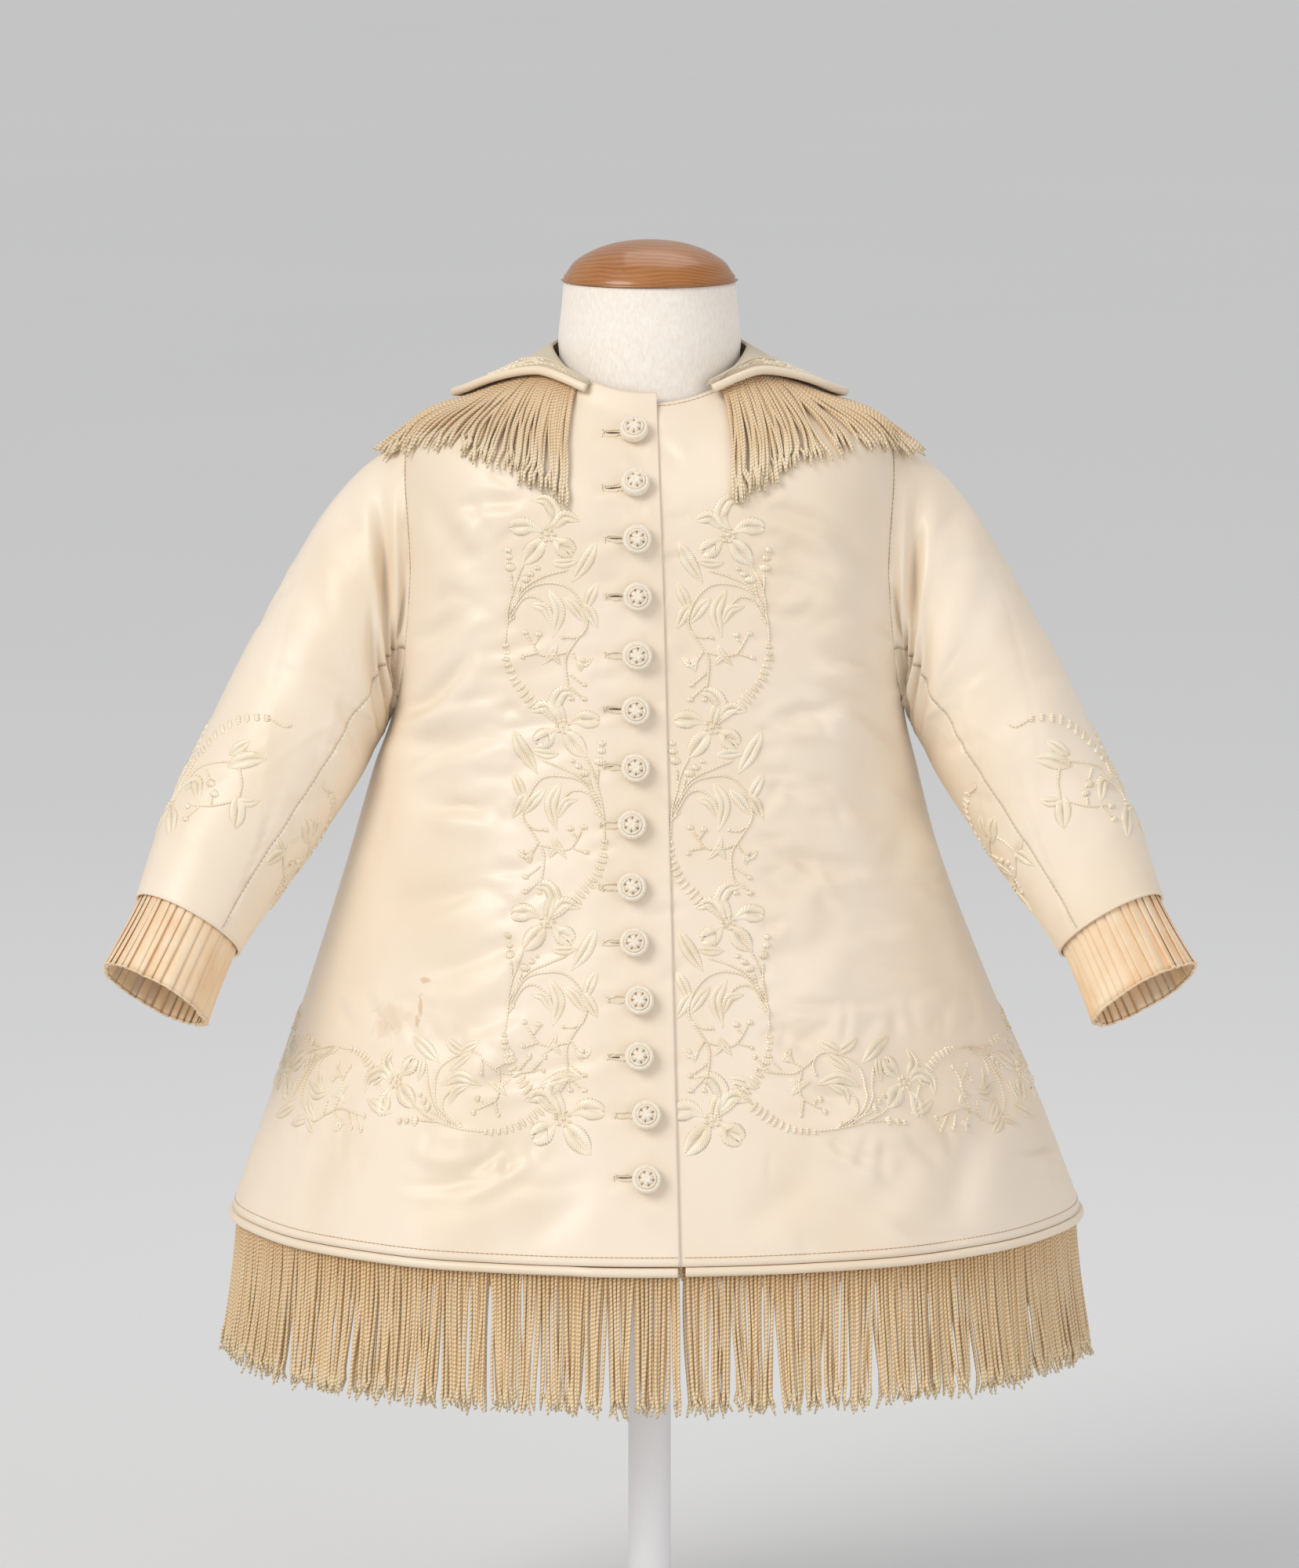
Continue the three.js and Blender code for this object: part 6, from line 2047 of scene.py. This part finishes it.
@dataclass
class Buttonholes:
    """Worked buttonholes beside the buttons: a dark slit of painted shade in an overcast rim, with a bar at
    its end.
    """

    finishes: Finishes
    reach: float = 10.6
    half_length: float = 4.9
    half_height: float = 1.45
    slit_height: float = 0.62
    seed: int = 17

    def build(self) -> None:
        """Makes the rims and the slits."""
        rng = np.random.default_rng(self.seed)
        rims, slits = FlatWork(stitch_mm=1.1, rope_mm=1.3, seed=80), FlatWork(seed=81)
        for x, z in BUTTONS:
            tilt = rng.normal(0, 0.05)
            turn = np.linspace(-0.15, 2 * math.pi - 0.15, 25)
            across = self.half_length * np.sign(np.cos(turn)) * np.abs(np.cos(turn)) ** 0.6
            up = self.half_height * np.sign(np.sin(turn)) * np.abs(np.sin(turn)) ** 0.8 + tilt * across
            middle = (x - self.reach, z + rng.normal(0, 0.4))
            end = -self.half_length - 0.6
            rims.draw([Stitched(Stitch.STEM, 0.6, tuple(zip(across, up))),
                       Stitched(Stitch.BAR, 0.6, ((end, -1.9), (end, 0), (end, 1.9)))], middle)
            slit = leaf(0.85, (1 - self.half_length, 0), (0, 0), (self.half_length, 0))
            slits.draw([slit], middle)
        place = Needlework.front_place(Side.RIGHT)
        rims.lay("buttonhole_rims", self.finishes.floss, place, "crocheted_silk")
        # The slits are dark sheets of painted shade in the openings.
        slits.lay("buttonhole_slits_painted_shade", self.finishes.slit,
                  lambda x, z, lift: place(x, z, np.minimum(lift, self.slit_height)), "silk_satin")


@dataclass
class Seams:
    """Lines of sewing along the hem, armholes, sleeves and left neck edge, and the sleeves' turned ends."""

    finishes: Finishes
    radius: float = 0.3
    stitch: float = 1.25
    lift: float = 0.6
    hem_row: float = 4.2
    neck_row: float = 3.2

    def line(self, parts: MeshParts, point: Array, normal: Array) -> None:
        """Adds one line of small stitches through places and normals."""
        count = max(8, int(run_along(point)[-1] / self.stitch))
        point, normal = respaced(count, point, normal)
        dashed = np.where(np.arange(count) % 2 == 0, 1.0, 0.45)
        add_tubes(parts, (point - normal * 0.12 * (1 - dashed)[:, None])[None], normal[None],
                  (self.radius * dashed)[None], 4)

    def build(self) -> None:
        """Makes the sewing of the body and of each sleeve, and the turned edge of each sleeve's end."""
        parts = MeshParts()
        for run in HemRun.runs():
            angle = np.linspace(run.first, run.last, 200)[1:-1]
            self.line(parts, *COAT.dressed(angle, HEM + self.hem_row, self.lift, run.label == "right"))
        angle = np.linspace(2.5, 40, 60)
        self.line(parts, *COAT.dressed(angle, NECKLINE - self.neck_row, self.lift))
        keep(parts.build("sewing_body", self.finishes.thread), "crocheted_silk")
        for side in Side:
            parts = MeshParts()
            for turn in (120.0, 240.0):
                station = np.linspace(0.05, 8.98, 220)
                self.line(parts, *SLEEVES[side].place(station, turn, 0.42))
            turn = np.linspace(0, 360, 260)
            self.line(parts, *SLEEVES[side].place(0.03, turn, 0.5))
            keep(parts.build(f"sewing_sleeve_{side.label}", self.finishes.thread), "crocheted_silk")
            parts = MeshParts()
            turn = np.linspace(0, 360, 181)
            point, normal = SLEEVES[side].place(8.98, turn)
            add_tubes(parts, point[None], normal[None], 0.95, 8)
            keep(parts.build(f"turned_edge_sleeve_{side.label}", self.finishes.satin), "silk_satin")


# ---------------------------------------------------------------- dress form and stand


@dataclass
class DressForm:
    """The limbless form under the coat, its turned cap and its stand."""

    finishes: Finishes
    sides: int = 96
    # height, half width and half depth below the armholes
    rows: tuple[tuple[float, float, float], ...] = (
        (358, 88, 66), (362, 104, 79), (372, 110, 84), (420, 107, 81), (470, 110, 81), (520, 117, 84),
    )
    # station on the coat and inset from its cloth
    stations: tuple[tuple[float, float], ...] = (
        (572, 3.5), (615, 2), (642, 0.4), (668, 0.4), (692, 0.6), (713, 0.6),
    )
    neck: tuple[tuple[float, float], ...] = ((700, 46.2), (716, 44.4), (728, 43.6))
    neck_base: float = 46.6
    clearance: float = 1.65
    cap: tuple[tuple[float, float], ...] = (
        (0.2, 0.3), (41.8, 0.3), (43.3, 1.2), (43.3, 2.9), (42.2, 4.0), (38.5, 9.3), (33.0, 13.2),
        (26.0, 16.6), (17.5, 19.2), (9.0, 20.5), (0.2, 21),
    )

    def turned(self, name: str, profile: Array, base: float, material: Material, slot: str,
               node: str) -> None:
        """Makes a piece turned round the z axis from a profile of radii and heights, closed at both ends."""
        turn = 2 * math.pi * np.arange(self.sides) / self.sides
        radius, height = profile[:, :1], profile[:, 1:] + base
        points = xyz(radius * np.sin(turn), -radius * np.cos(turn), height)
        parts = MeshParts()
        parts.add(points, closed_faces(len(profile), self.sides))
        keep(parts.build(name, material), slot, node)

    def build(self) -> None:
        """Makes the torso, the cap, the pole and the base."""
        degrees = 360 * np.arange(self.sides) / self.sides
        angle = signed(degrees)
        sine, cosine = np.sin(np.radians(degrees)), np.cos(np.radians(degrees))
        rings = [xyz(side * sine, -deep * cosine, z) for z, side, deep in self.rows]
        rings += [COAT.place(angle, float(at), -FACE - self.clearance - inset)[0]
                  for at, inset in self.stations]
        rim = COAT.point(angle, NECKLINE)[:, 2] - 1
        rings.append(xyz(self.neck_base * sine, -self.neck_base * cosine, rim))
        rings += [xyz(radius * sine, -radius * cosine, z) for z, radius in self.neck]
        table = SizeTable(tuple((float(k), *ring.ravel()) for k, ring in enumerate(rings)))
        grid = table.at(np.linspace(0, len(rings) - 1, 6 * len(rings) - 5))[:, 1:].reshape(-1, self.sides, 3)
        parts = MeshParts()
        parts.add(grid, closed_faces(len(grid), self.sides))
        keep(parts.build("jersey_torso", self.finishes.jersey), "cotton_jersey", "form_torso")
        cap = curve_points(self.cap, 61)
        self.turned("turned_cap", cap, self.neck[-1][0], self.finishes.beech, "turned_beech", "form_cap")
        pole = np.array([[10.6, 9.3], [11, 9.7], [11, 357.3], [10.6, 357.7]])
        self.turned("painted_pole", pole, 0.0, self.finishes.paint, "painted_steel", "pole")
        base = np.array([[149.6, 0.0], [150, 0.4], [150, 6.2], [149.2, 8.0], [147.4, 9.0], [16, 9.0]])
        self.turned("painted_base", base, 0.0, self.finishes.paint, "painted_steel", "base")


# ---------------------------------------------------------------- studio


@dataclass
class Studio:
    """Seamless pale paper, an even key light from the upper left, three soft lamps and the camera."""

    distance: float = 4.0
    elevation: float = 8.6
    target: tuple[float, float, float] = (0.0, 0.0, 0.471)
    lens: float = 180.0

    def backdrop(self) -> None:
        """Makes a wide floor of pale paper that fills the view behind the object."""
        surface = Surface("paper_seamless_matt")
        colour = surface.blend(surface.ease(surface.noise((900, 900, 900), 1), 0.3, 0.7), "e2e3e4", "e3e4e4")
        paper = surface.finish(colour, 0.9, Specular_IOR_Level=0.1)
        radius = np.array([0.0, 900.0, 2500.0, 6000.0, 15000.0, 60000.0])[:, None]
        turn = 2 * math.pi * np.arange(64) / 64
        parts = MeshParts()
        parts.add(xyz(radius[1:] * np.cos(turn), radius[1:] * np.sin(turn), np.full((5, 64), -0.05)),
                  [grid_quads(5, 64, wrap=True)[:, ::-1], np.arange(64)[None]])
        paper_sweep = parts.build("paper_floor", paper)

    @staticmethod
    def lamp(name: str, place: tuple[float, float, float], aim: tuple[float, float, float], size: float,
             watts: float, colour: str) -> None:
        """Adds a soft square lamp."""
        light = bpy.data.lights.new(name, "AREA")
        light.size, light.energy, light.color = size, watts, linear(colour)[:3]
        lamp = bpy.data.objects.new(name, light)
        lamp.location = place
        lamp.rotation_euler = (Vector(aim) - Vector(place)).to_track_quat("-Z", "Y").to_euler()
        bpy.context.scene.collection.objects.link(lamp)

    @staticmethod
    def sun(strength: float, spread: float, place: tuple[float, float, float], colour: str) -> None:
        """Adds an even key light, whose spread in degrees softens its shadows."""
        light = bpy.data.lights.new("lamp_key", "SUN")
        light.energy, light.angle, light.color = strength, math.radians(spread), linear(colour)[:3]
        lamp = bpy.data.objects.new("lamp_key", light)
        lamp.rotation_euler = Vector([-c for c in place]).to_track_quat("-Z", "Y").to_euler()
        bpy.context.scene.collection.objects.link(lamp)

    def build(self) -> None:
        """Makes the backdrop, the light and the camera."""
        self.backdrop()
        scene = bpy.context.scene
        world = bpy.data.worlds.new("room_light")
        world.use_nodes = True
        world.node_tree.nodes.clear()
        light = add_node(world.node_tree, "Background", {"Color": linear("fafafb"), "Strength": 0.53})
        add_node(world.node_tree, "OutputWorld", None, {"Surface": light.outputs[0]})
        scene.world = world
        self.sun(1.22, 34.0, (-2.3, -2.1, 2.1), "fffcf8")
        self.lamp("lamp_high", (-2.0, -2.1, 2.9), (0, 0, 0.45), 1.6, 19, "fffcf7")
        self.lamp("lamp_fill", (2.2, -2.4, 1.2), (0, 0, 0.45), 2.2, 21, "fdfcff")
        self.lamp("lamp_top", (0.2, 0.9, 2.6), (0, 0, 0.5), 1.4, 8, "ffffff")
        scene.view_settings.view_transform = "Standard"
        camera = bpy.data.cameras.new("camera")
        camera.lens, camera.sensor_width, camera.clip_end = self.lens, 36.0, 200.0
        view = bpy.data.objects.new("camera", camera)
        tilt = math.radians(self.elevation)
        view.location = Vector(self.target) + Vector((0, -math.cos(tilt), math.sin(tilt))) * self.distance
        view.rotation_euler = (math.pi / 2 - tilt, 0, 0)
        scene.collection.objects.link(view)
        scene.camera = view


def main() -> None:
    """Builds the coat, its form and the studio."""
    logging.basicConfig(level=logging.INFO, format="%(message)s")
    finishes = Finishes()
    for assembly in (CoatPanels, Sleeves, CuffFrills, Collar, HemTrim, CollarFringe, Buttons,
                     Needlework, Buttonholes, Seams, DressForm):
        assembly(finishes).build()
    Studio().build()


if __name__ == "__main__":
    main()
